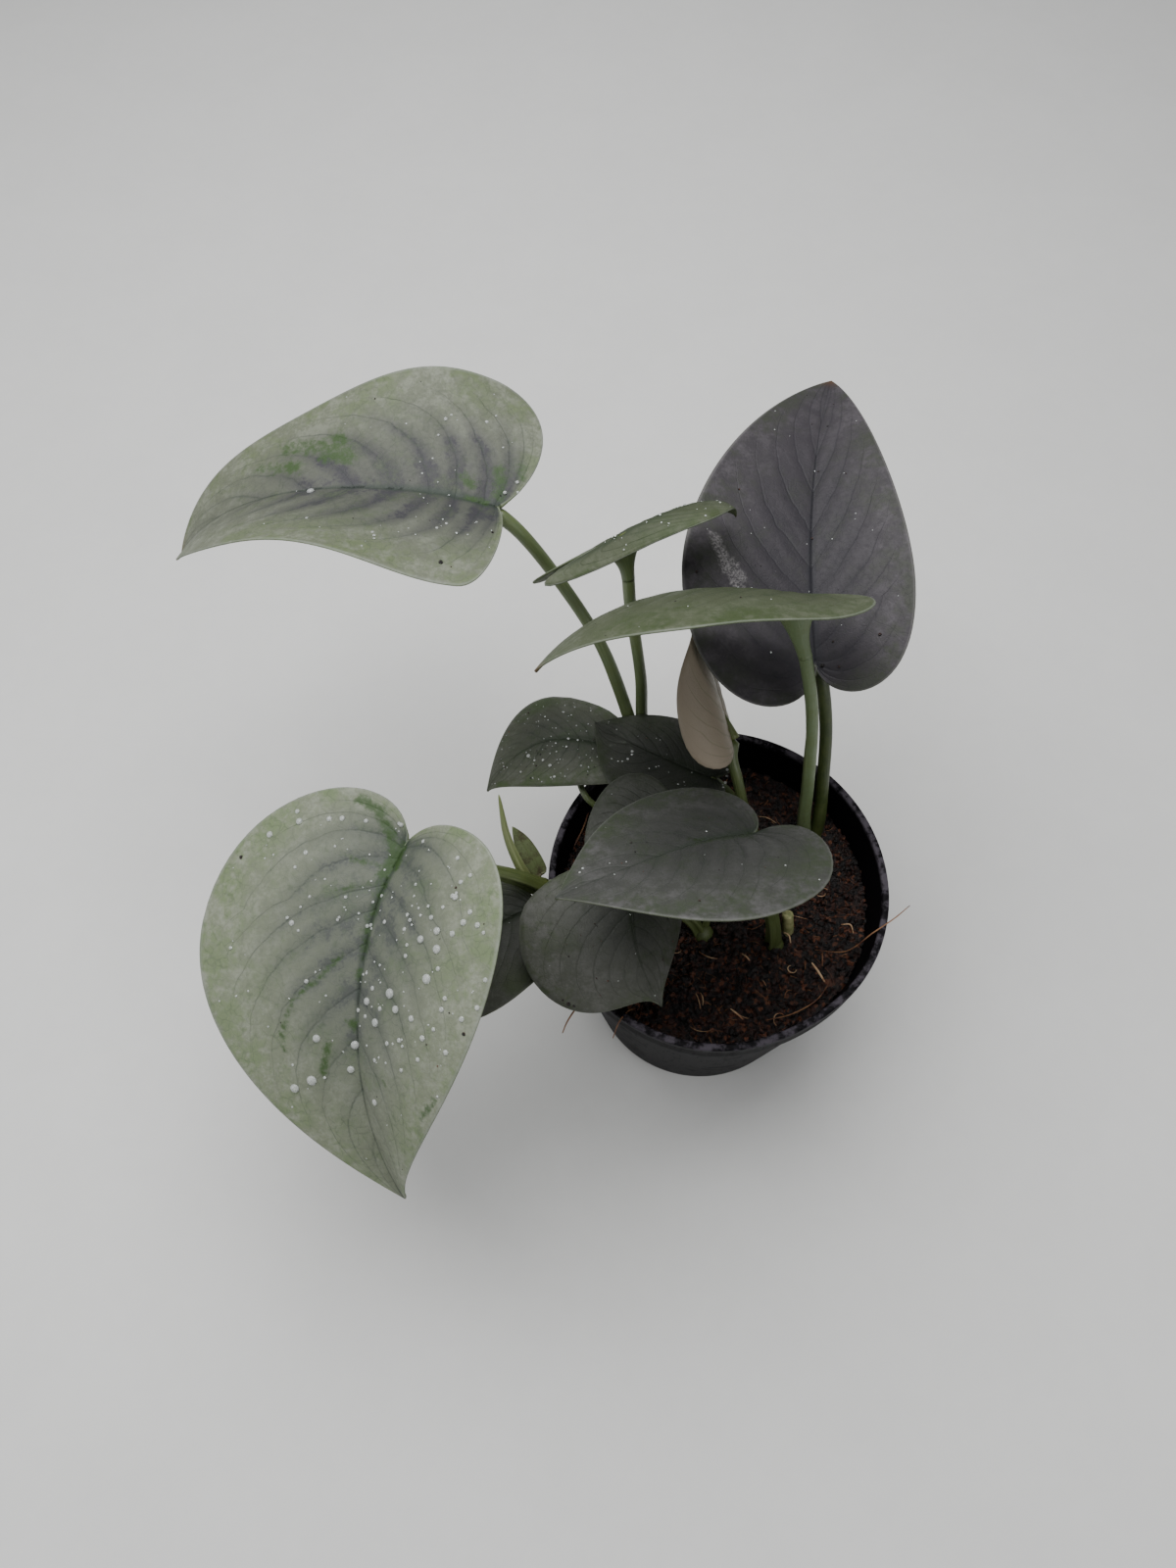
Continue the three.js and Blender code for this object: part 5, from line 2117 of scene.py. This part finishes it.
@dataclass
class NurseryPot:
    """A thin round pot with a stepped collar, a small rolled lip and drain holes."""

    height: float = 78
    rim_radius: float = 45
    base_radius: float = 32
    wall: float = 1.1
    floor: float = 1.4
    collar_height: float = 9
    collar_step: float = 1.3
    collar_ledge: float = 0.6
    foot_bevel: float = 0.8
    lip_width: float = 1.9
    lip_height: float = 2.4
    lip_round: float = 0.5
    ovality: float = 0.0075
    dent: float = 1.2
    dent_heading: float = -63
    dent_spread: float = 24
    drain_holes: int = 8
    drain_radius: float = 3
    drain_ring: float = 22
    segments: int = 144

    @property
    def collar_foot(self) -> float:
        """The height where the collar starts."""
        return self.height - self.collar_height

    @property
    def wall_top_radius(self) -> float:
        """The wall's outer radius under the collar."""
        return self.rim_radius - self.collar_step - self.collar_ledge

    def outer(self, z: float) -> float:
        """The wall's outer radius at a height."""
        return self.base_radius + (self.wall_top_radius - self.base_radius) * z / self.collar_foot

    def squeeze(self, points: np.ndarray) -> np.ndarray:
        """Make the soft rim a little oval and dented, less so further down.

        Args:
            points: Points of the round pot.

        Returns:
            The same points on the real pot.
        """
        heading = np.arctan2(points[:, 1], points[:, 0])
        height = points[:, 2] / self.height
        off = heading - math.radians(self.dent_heading)
        away = np.arctan2(np.sin(off), np.cos(off))
        dent = self.dent * np.exp(-((away / math.radians(self.dent_spread)) ** 2))
        radius = np.hypot(points[:, 0], points[:, 1])
        share = radius / self.rim_radius
        pressed = dent * share / np.maximum(radius, 1e-9)
        scale = 1 + height**2 * (-self.ovality * np.cos(2 * heading) - pressed)
        moved = points.copy()
        moved[:, :2] *= scale[:, None]
        return moved

    def profile(self) -> list[Pair]:
        """Draw the wall's outline, from the middle of the underside round to the middle of the floor.

        Returns:
            The outline's radii and heights.
        """
        def inner(z: float) -> float:
            """The wall's inner radius at a height."""
            return self.outer(z) - self.wall

        base, rim, lip, foot = self.base_radius, self.rim_radius, self.lip_round, self.collar_foot
        ledge, collar = self.wall_top_radius, self.wall_top_radius + self.collar_step
        low, high, inside = self.height - self.lip_height, self.height - lip, rim - self.lip_width

        def on_collar(z: float) -> float:
            """The collar's outer radius at a height."""
            return np.interp(z, [foot, low], [collar, rim - lip])

        return [
            (0, 0.6), (base - 7, 0.6), (base - 6, 0.15), (base - 4.5, 0), (base - self.foot_bevel, 0),
            (base - 0.25, 0.25), (self.outer(self.foot_bevel), self.foot_bevel),
            *((self.outer(z), z) for z in np.linspace(4, foot - 1.2, 12)),
            (ledge - 0.02, foot - 0.35), (ledge + 0.18, foot), (collar - 0.2, foot + 0.35),
            (collar, foot + 0.8), *((on_collar(z), z) for z in np.linspace(foot + 1.6, low - 0.4, 4)),
            (rim - lip + 0.05, low), (rim - 0.12, low + 0.25), (rim, low + lip), (rim, high),
            *((rim - lip + lip * math.sin(a), high + lip * math.cos(a)) for a in (1.2, 0.8, 0.4, 0)),
            *((inside + lip - lip * math.sin(a), high + lip * math.cos(a)) for a in (0, 0.4, 0.8, 1.2, 1.57)),
            (inside, low + lip), (inner(foot) + 0.5, low - 1.5), (inner(foot), foot),
            *((inner(z), z) for z in np.linspace(foot - 4, 5, 8)),
            (inner(self.floor) - 0.1, self.floor + 0.5), (inner(self.floor) - 0.6, self.floor),
            (0, self.floor),
        ]

    def build(self) -> Object:
        """Turn the wall, squeeze it and cut its drain holes.

        Returns:
            The pot piece.
        """
        points, faces = lathe(self.profile(), self.segments)
        shell = mesh_object("nursery_pot_shell", self.squeeze(points), faces, POT)
        turns = np.arange(self.drain_holes) * 2 * math.pi / self.drain_holes
        centres = np.stack([np.cos(turns), np.sin(turns)], 1) * self.drain_ring
        outline = [(0, -2), (self.drain_radius, -2), (self.drain_radius, 4), (0, 4)]
        drills = joined([(*lathe(outline, 32, (x, y)), {}) for x, y in centres])
        drill = mesh_object("drain_drill", drills[0], drills[1], POT)
        cut = shell.modifiers.new("drain", "BOOLEAN")
        cut.object, cut.operation, cut.solver = drill, "DIFFERENCE", "EXACT"
        pot = evaluated_copy(shell, "nursery_pot")
        bpy.data.objects.remove(drill)
        pot.data.set_sharp_from_angle(angle=math.radians(50))
        return settle(pot, Slot.POT, "pot")


def lathe(profile: Sequence[Pair], segments: int, centre: Pair = (0, 0)) -> tuple[np.ndarray, Faces]:
    """Turn an outline about an upright axis. The outline goes up the outside.

    Args:
        profile: Radius and height of each point. The first and last may be on the axis.
        segments: How many steps go round.
        centre: Where the axis stands.

    Returns:
        The points and faces of the closed shape.
    """
    turn = np.linspace(0, 2 * math.pi, segments, endpoint=False)
    rows = np.array([[(r * math.cos(a), r * math.sin(a), z) for a in turn] for r, z in profile])
    points, faces, _ = weld(rows.reshape(-1, 3) + np.array([*centre, 0]), band(len(profile), segments))
    return points, faces


@dataclass
class PottingMix:
    """The bed of coir and bark: an uneven top, loose crumbs and fibres."""

    pot: NurseryPot
    top: float = 65.5
    unevenness: float = 0.7
    hole_depth: float = 10
    clearance: float = 0.3
    crumbs: int = 4600
    crumb_size: Pair = (0.4, 2.0)
    crumb_seed: int = 4
    fibres: int = 330
    fibre_length: Pair = (2.2, 9.2)
    curls: int = 46
    strand_seed: int = 11

    def rise(self, x: np.ndarray, y: np.ndarray) -> np.ndarray:
        """The broad swell of the top."""
        return self.unevenness * (np.sin(x / 7 + y / 11) + np.cos(y / 8 - x / 13)) / 2

    def rough(self, x: float, y: float) -> float:
        """Give the crumbly relief of the top.

        Args:
            x: The place to the right.
            y: The place to the back.

        Returns:
            Its height in millimetres.
        """
        coarse = noise.fractal(Vector((x / 5.5, y / 5.5, 0.3)), 1.0, 2.0, 2)
        fine = noise.fractal(Vector((x / 1.7, y / 1.7, 7.1)), 0.8, 2.1, 3)
        return 0.6 * coarse + 0.75 * fine

    def radius_at(self, z: float) -> float:
        """The bed's radius at a height."""
        return self.pot.outer(z) - self.pot.wall - self.clearance

    def build(self) -> list[Object]:
        """Build the bed, its crumbs and its fibres.

        Returns:
            The pieces.
        """
        bed = self.bed()
        return [bed, self.scatter(bed), *self.strands()]

    def bed(self) -> Object:
        """Build the bed down to the pot's floor.

        Returns:
            The bed piece.
        """
        bottom, edge = self.pot.floor + self.clearance, self.radius_at(self.top)
        rings = [(0, bottom), (self.radius_at(bottom) * 0.5, bottom), (self.radius_at(bottom), bottom)]
        rings += [(self.radius_at(z), z) for z in np.linspace(8, self.top - 1.2, 12)]
        rings += [(share * edge, self.top) for share in np.linspace(1, 0, 56)]
        points, faces = lathe(rings, 220)
        points = self.pot.squeeze(points)
        upper = points[:, 2] > self.top - 0.2
        radius = np.hypot(points[:, 0], points[:, 1])
        for place in np.nonzero(upper)[0]:
            x, y = points[place, :2]
            share = min(1.0, (edge * 1.01 - radius[place]) / 1.5 + 0.35)
            points[place, 2] += self.rise(x, y) + self.rough(x, y) * share
        bed = mesh_object("potting_mix_bed", points, faces, MIX, {"upper": upper.astype(float)})
        return settle(bed, Slot.MIX, "soil")

    def scatter(self, bed: Object) -> Object:
        """Scatter crumbs over the top of the bed with a geometry node tree.

        Args:
            bed: The bed piece.

        Returns:
            The crumbs piece.
        """
        source = linked("crumb_source", bed.data.copy())
        crumbs = grow(source, crumb_tree(), "potting_mix_crumbs", {
            "Count per area": self.crumbs / (math.pi * (self.radius_at(self.top) * MM) ** 2),
            "Smallest": self.crumb_size[0] * MM, "Largest": self.crumb_size[1] * MM,
            "Seed": self.crumb_seed, "Material": MIX.build(),
        })
        return settle(crumbs, Slot.MIX)

    def strands(self) -> list[Object]:
        """Lay fibres on the bed: short dark and curled pale ones at random, and those listed.

        Returns:
            The dark and the pale fibres.
        """
        draw = np.random.default_rng(self.strand_seed)
        edge, (shortest, longest) = self.radius_at(self.top), self.fibre_length
        lines = []
        for _ in range(self.fibres):
            radius = edge * 0.97 * math.sqrt(draw.random())
            turn, heading = draw.random(2) * 2 * math.pi
            x, y = radius * math.cos(turn), radius * math.sin(turn)
            size = shortest + (longest - shortest) * draw.random() ** 2
            bend = draw.normal(0, 0.5)
            line = []
            for share in np.linspace(-0.5, 0.5, 7):
                angle = heading + bend * share
                px, py = x + math.cos(angle) * share * size, y + math.sin(angle) * share * size
                reach = math.hypot(px, py)
                if reach > edge - 0.3:
                    px, py = (c * (edge - 0.3) / reach for c in (px, py))
                lift = 0.25 + 1.3 * draw.random() * (0.25 - share * share)
                line.append((px, py, self.top + float(self.rise(px, py)) + self.rough(px, py) * 0.8 + lift))
            lines.append((line, 0.05 + 0.07 * draw.random()))
        lines += [([tuple(spot) for spot in catmull(route, 24)], thick) for route, thick in LONG_STRANDS]
        curls = [(self.curl(draw), 0.09 + 0.07 * draw.random()) for _ in range(self.curls)]
        curls += [([tuple(spot) for spot in catmull(route, 12)], thick) for route, thick in PALE_STRANDS]
        return [
            settle(curves_to_mesh("coir_fibres", lines, FIBRE), Slot.MIX),
            settle(curves_to_mesh("pale_fibres", curls, PALE_FIBRE), Slot.MIX),
        ]

    def curl(self, draw: np.random.Generator) -> list[Point]:
        """Draw one short curled fibre that stands a little off the bed.

        Args:
            draw: The random numbers.

        Returns:
            Its points.
        """
        radius, turn = (self.radius_at(self.top) - 4) * math.sqrt(draw.random()), draw.random() * 2 * math.pi
        x, y, heading = radius * math.cos(turn), radius * math.sin(turn), draw.random() * 2 * math.pi
        step, bend = 0.35 + 0.4 * draw.random(), draw.normal(0, 0.28)
        line = []
        for place in range(10):
            lift = 0.7 + 0.9 * math.sin(place * 0.35)
            line.append((x, y, self.top + float(self.rise(np.array(x), np.array(y))) + lift))
            heading += bend
            x, y = x + step * math.cos(heading), y + step * math.sin(heading)
        return line


PALE_STRANDS: tuple[Strand, ...] = (
    (((24.5, -19.2, 68.8), (25.9, -21.8, 69.3), (27.4, -24.4, 68.9)), 0.32),
    (((6.4, -16.6, 68.4), (7.3, -17.7, 69.4), (8.2, -18.5, 68.6)), 0.26),
    (((17.8, -10.6, 68.4), (18.9, -12, 69.6), (19.3, -13.6, 68.6)), 0.24),
    (((33.2, -8.4, 68.4), (35.4, -8.9, 69.6), (36.1, -10.9, 68.8)), 0.2),
    (((2.6, -31.5, 68.4), (3.9, -32.9, 69.3), (5.6, -34.4, 68.8)), 0.24),
)
LONG_STRANDS: tuple[Strand, ...] = (
    (((-30.9, 36.1, 67.6), (-33.4, 27.7, 69), (-35.2, 21, 68.4), (-38, 15, 67.2)), 0.28),
    (((26, -15, 67), (33, -17, 71.5), (39, -14.6, 79.2), (44.5, -11, 79.4), (50, -6, 76)), 0.2),
    (
        ((-32, -28, 67), (-34.4, -31.4, 75), (-36.9, -34.2, 78.7), (-39.3, -37.4, 77.6), (-40.6, -39.4, 74)),
        0.26,
    ),
    (((-22, -31, 67), (-24.4, -34.6, 76), (-26.6, -38.2, 78.7), (-28, -41.4, 76.4)), 0.22),
    (((12, -34, 67), (18, -33, 68.6), (25, -29, 67.8), (29, -24, 67)), 0.2),
    (((-8, 30, 67), (-2, 33, 69), (5, 32.6, 68.4), (9, 29, 67)), 0.2),
)


def curves_to_mesh(name: str, lines: list[tuple[list[Point], float]], finish: Finish) -> Object:
    """Turn thin lines into closed strands with a geometry node tree.

    Args:
        name: The object's name.
        lines: Each line's points in millimetres and its radius.
        finish: The strands' finish.

    Returns:
        The plain object.
    """
    points, edges, radii = [], [], []
    for line, radius in lines:
        start = len(points)
        points += line
        edges += [(start + place, start + place + 1) for place in range(len(line) - 1)]
        shares = ((place + 0.5) / len(line) for place in range(len(line)))
        radii += [radius * MM * (0.55 + 0.45 * math.sin(math.pi * share)) for share in shares]
    mesh = bpy.data.meshes.new(name + "_lines")
    mesh.from_pydata((np.array(points) * MM).tolist(), edges, [])
    mesh.attributes.new("thick", "FLOAT", "POINT").data.foreach_set("value", radii)
    source = linked(name + "_lines", mesh)
    return grow(source, strand_tree(), name, {"Sides": 5, "Material": finish.build()})


def finish_tree(tree: Tree, out: Node, shape: object, material: object, smooth: bool = True) -> None:
    """End a geometry tree: real geometry, shading and material.

    Args:
        tree: The tree.
        out: Its output node.
        shape: The geometry so far.
        material: The material input.
        smooth: Whether the faces are shaded smooth.
    """
    real = tree.add("GeometryNodeRealizeInstances", i0=shape).outputs[0]
    shaded = tree.add("GeometryNodeSetShadeSmooth", i0=real)
    tree.feed(shaded, "Shade Smooth", smooth)
    painted = tree.add("GeometryNodeSetMaterial", i0=shaded.outputs[0], Material=material)
    tree.feed(out, "i0", painted.outputs[0])


def strand_tree() -> NodeTree:
    """A geometry tree that gives edges a round section whose radius is the attribute thick.

    Returns:
        The tree.
    """
    known = bpy.data.node_groups.get("strands")
    if known:
        return known
    inputs = {"Geometry": "Geometry", "Sides": 5, "Material": "Material"}
    tree, given, out = new_group("strands", "GeometryNodeTree", inputs, ["Geometry"])
    curve = tree.add("GeometryNodeMeshToCurve", Mesh=given["Geometry"]).outputs[0]
    circle = tree.add("GeometryNodeCurvePrimitiveCircle", Resolution=given["Sides"], Radius=1.0).outputs[0]
    tube = tree.add("GeometryNodeCurveToMesh", Curve=curve, Profile_Curve=circle, Fill_Caps=True)
    tree.feed(tube, "Scale", tree.named("thick"))
    finish_tree(tree, out, tube.outputs[0], given["Material"])
    return tree.tree


def crumb_tree() -> NodeTree:
    """A geometry tree that scatters broken crumbs over the faces whose attribute upper is 1.

    Returns:
        The tree.
    """
    inputs = {
        "Geometry": "Geometry", "Count per area": 1.0, "Smallest": 0.001, "Largest": 0.002, "Seed": 1,
        "Material": "Material",
    }
    tree, given, out = new_group("crumbs", "GeometryNodeTree", inputs, ["Geometry"])
    chosen = tree.maths("GREATER_THAN", tree.named("upper"), 0.9)
    spread = tree.add("GeometryNodeDistributePointsOnFaces", Mesh=given["Geometry"], Selection=chosen)
    tree.feed(spread, "Density", given["Count per area"])
    tree.feed(spread, "Seed", given["Seed"])
    draw = tree.add("FunctionNodeRandomValue", {"data_type": "FLOAT"}, Seed=given["Seed"]).outputs[1]
    span = tree.minus(given["Largest"], given["Smallest"])
    size = tree.times_plus(tree.maths("POWER", draw, 1.6), span, given["Smallest"])
    vectors = {"data_type": "FLOAT_VECTOR"}
    shape = tree.add("FunctionNodeRandomValue", vectors, i0=(0.5, 0.45, 0.35), i1=(1.15, 0.85, 0.7))
    tree.feed(shape, "Seed", given["Seed"])
    turn = tree.add("FunctionNodeRandomValue", vectors, i0=(0.0, 0.0, 0.0), i1=(6.28, 6.28, 6.28))
    scale, rough = tree.scaled(shape.outputs[0], size), (900.0, 1.1 * MM)
    broken = rough_balls(tree, spread.outputs[0], 1, scale, turn.outputs[0], rough)
    finish_tree(tree, out, broken, given["Material"], smooth=False)
    return tree.tree


# Studio


@dataclass
class Studio:
    """A plain pale floor, soft lights and the photographer's camera."""

    camera_place: Point = (-34.2, -127.7, 385.0)
    camera_tilt: float = 27.0
    lens: float = 29.0
    sensor: float = 36.0
    floor_size: float = 3000.0
    surround: Colour = (0.82, 0.84, 0.86)
    surround_strength: float = 0.22

    def build(self) -> None:
        """Build the floor, the lights and the camera."""
        turns = ((-1, -1), (1, -1), (1, 1), (-1, 1))
        corners = np.array([(x * self.floor_size, y * self.floor_size, 0) for x, y in turns], float)
        floor = mesh_object("studio_floor", corners, [[0, 1, 2, 3]], PAPER)
        self.light("key", (-130, 190, 690), (-20, 20, 90), 640, 8.0)
        self.light("fill", (420, -360, 420), (0, 0, 90), 500, 1.5)
        self.light("side", (-520, -260, 260), (-40, 0, 90), 400, 1.2)
        world = bpy.data.worlds.new("soft_surround")
        bpy.context.scene.world = world
        world.use_nodes = True
        background = world.node_tree.nodes["Background"]
        background.inputs["Color"].default_value = (*self.surround, 1)
        background.inputs["Strength"].default_value = self.surround_strength
        data = bpy.data.cameras.new("photo_camera")
        data.sensor_fit, data.sensor_height, data.lens = "VERTICAL", self.sensor, self.lens
        data.clip_start, data.clip_end = 0.01, 20
        camera = linked("photo_camera", data)
        camera.location = Vector(self.camera_place) * MM
        camera.rotation_euler = (math.radians(self.camera_tilt), 0, 0)
        bpy.context.scene.camera = camera

    @staticmethod
    def light(name: str, place: Point, target: Point, size: float, power: float) -> None:
        """Add a square soft light.

        Args:
            name: Its name.
            place: Where it hangs.
            target: What it points at.
            size: The length of its side.
            power: Its power in watts.
        """
        data = bpy.data.lights.new(name, "AREA")
        data.energy, data.size = power, size * MM
        lamp = linked(name, data)
        lamp.location = Vector(place) * MM
        lamp.rotation_euler = (Vector(target) - Vector(place)).to_track_quat("-Z", "Y").to_euler()


def main() -> None:
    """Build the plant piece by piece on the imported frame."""
    logging.basicConfig(level=logging.INFO, format="%(message)s")
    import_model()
    Studio().build()
    pot = NurseryPot()
    pot.build()
    soil = PottingMix(pot)
    soil.build()
    for stem in STEMS:
        stem.build(soil)
    for leaf in LEAVES.values():
        leaf.build()
    dress_blades()
    NewGrowth().build(soil)
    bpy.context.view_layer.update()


if __name__ == "__main__":
    main()
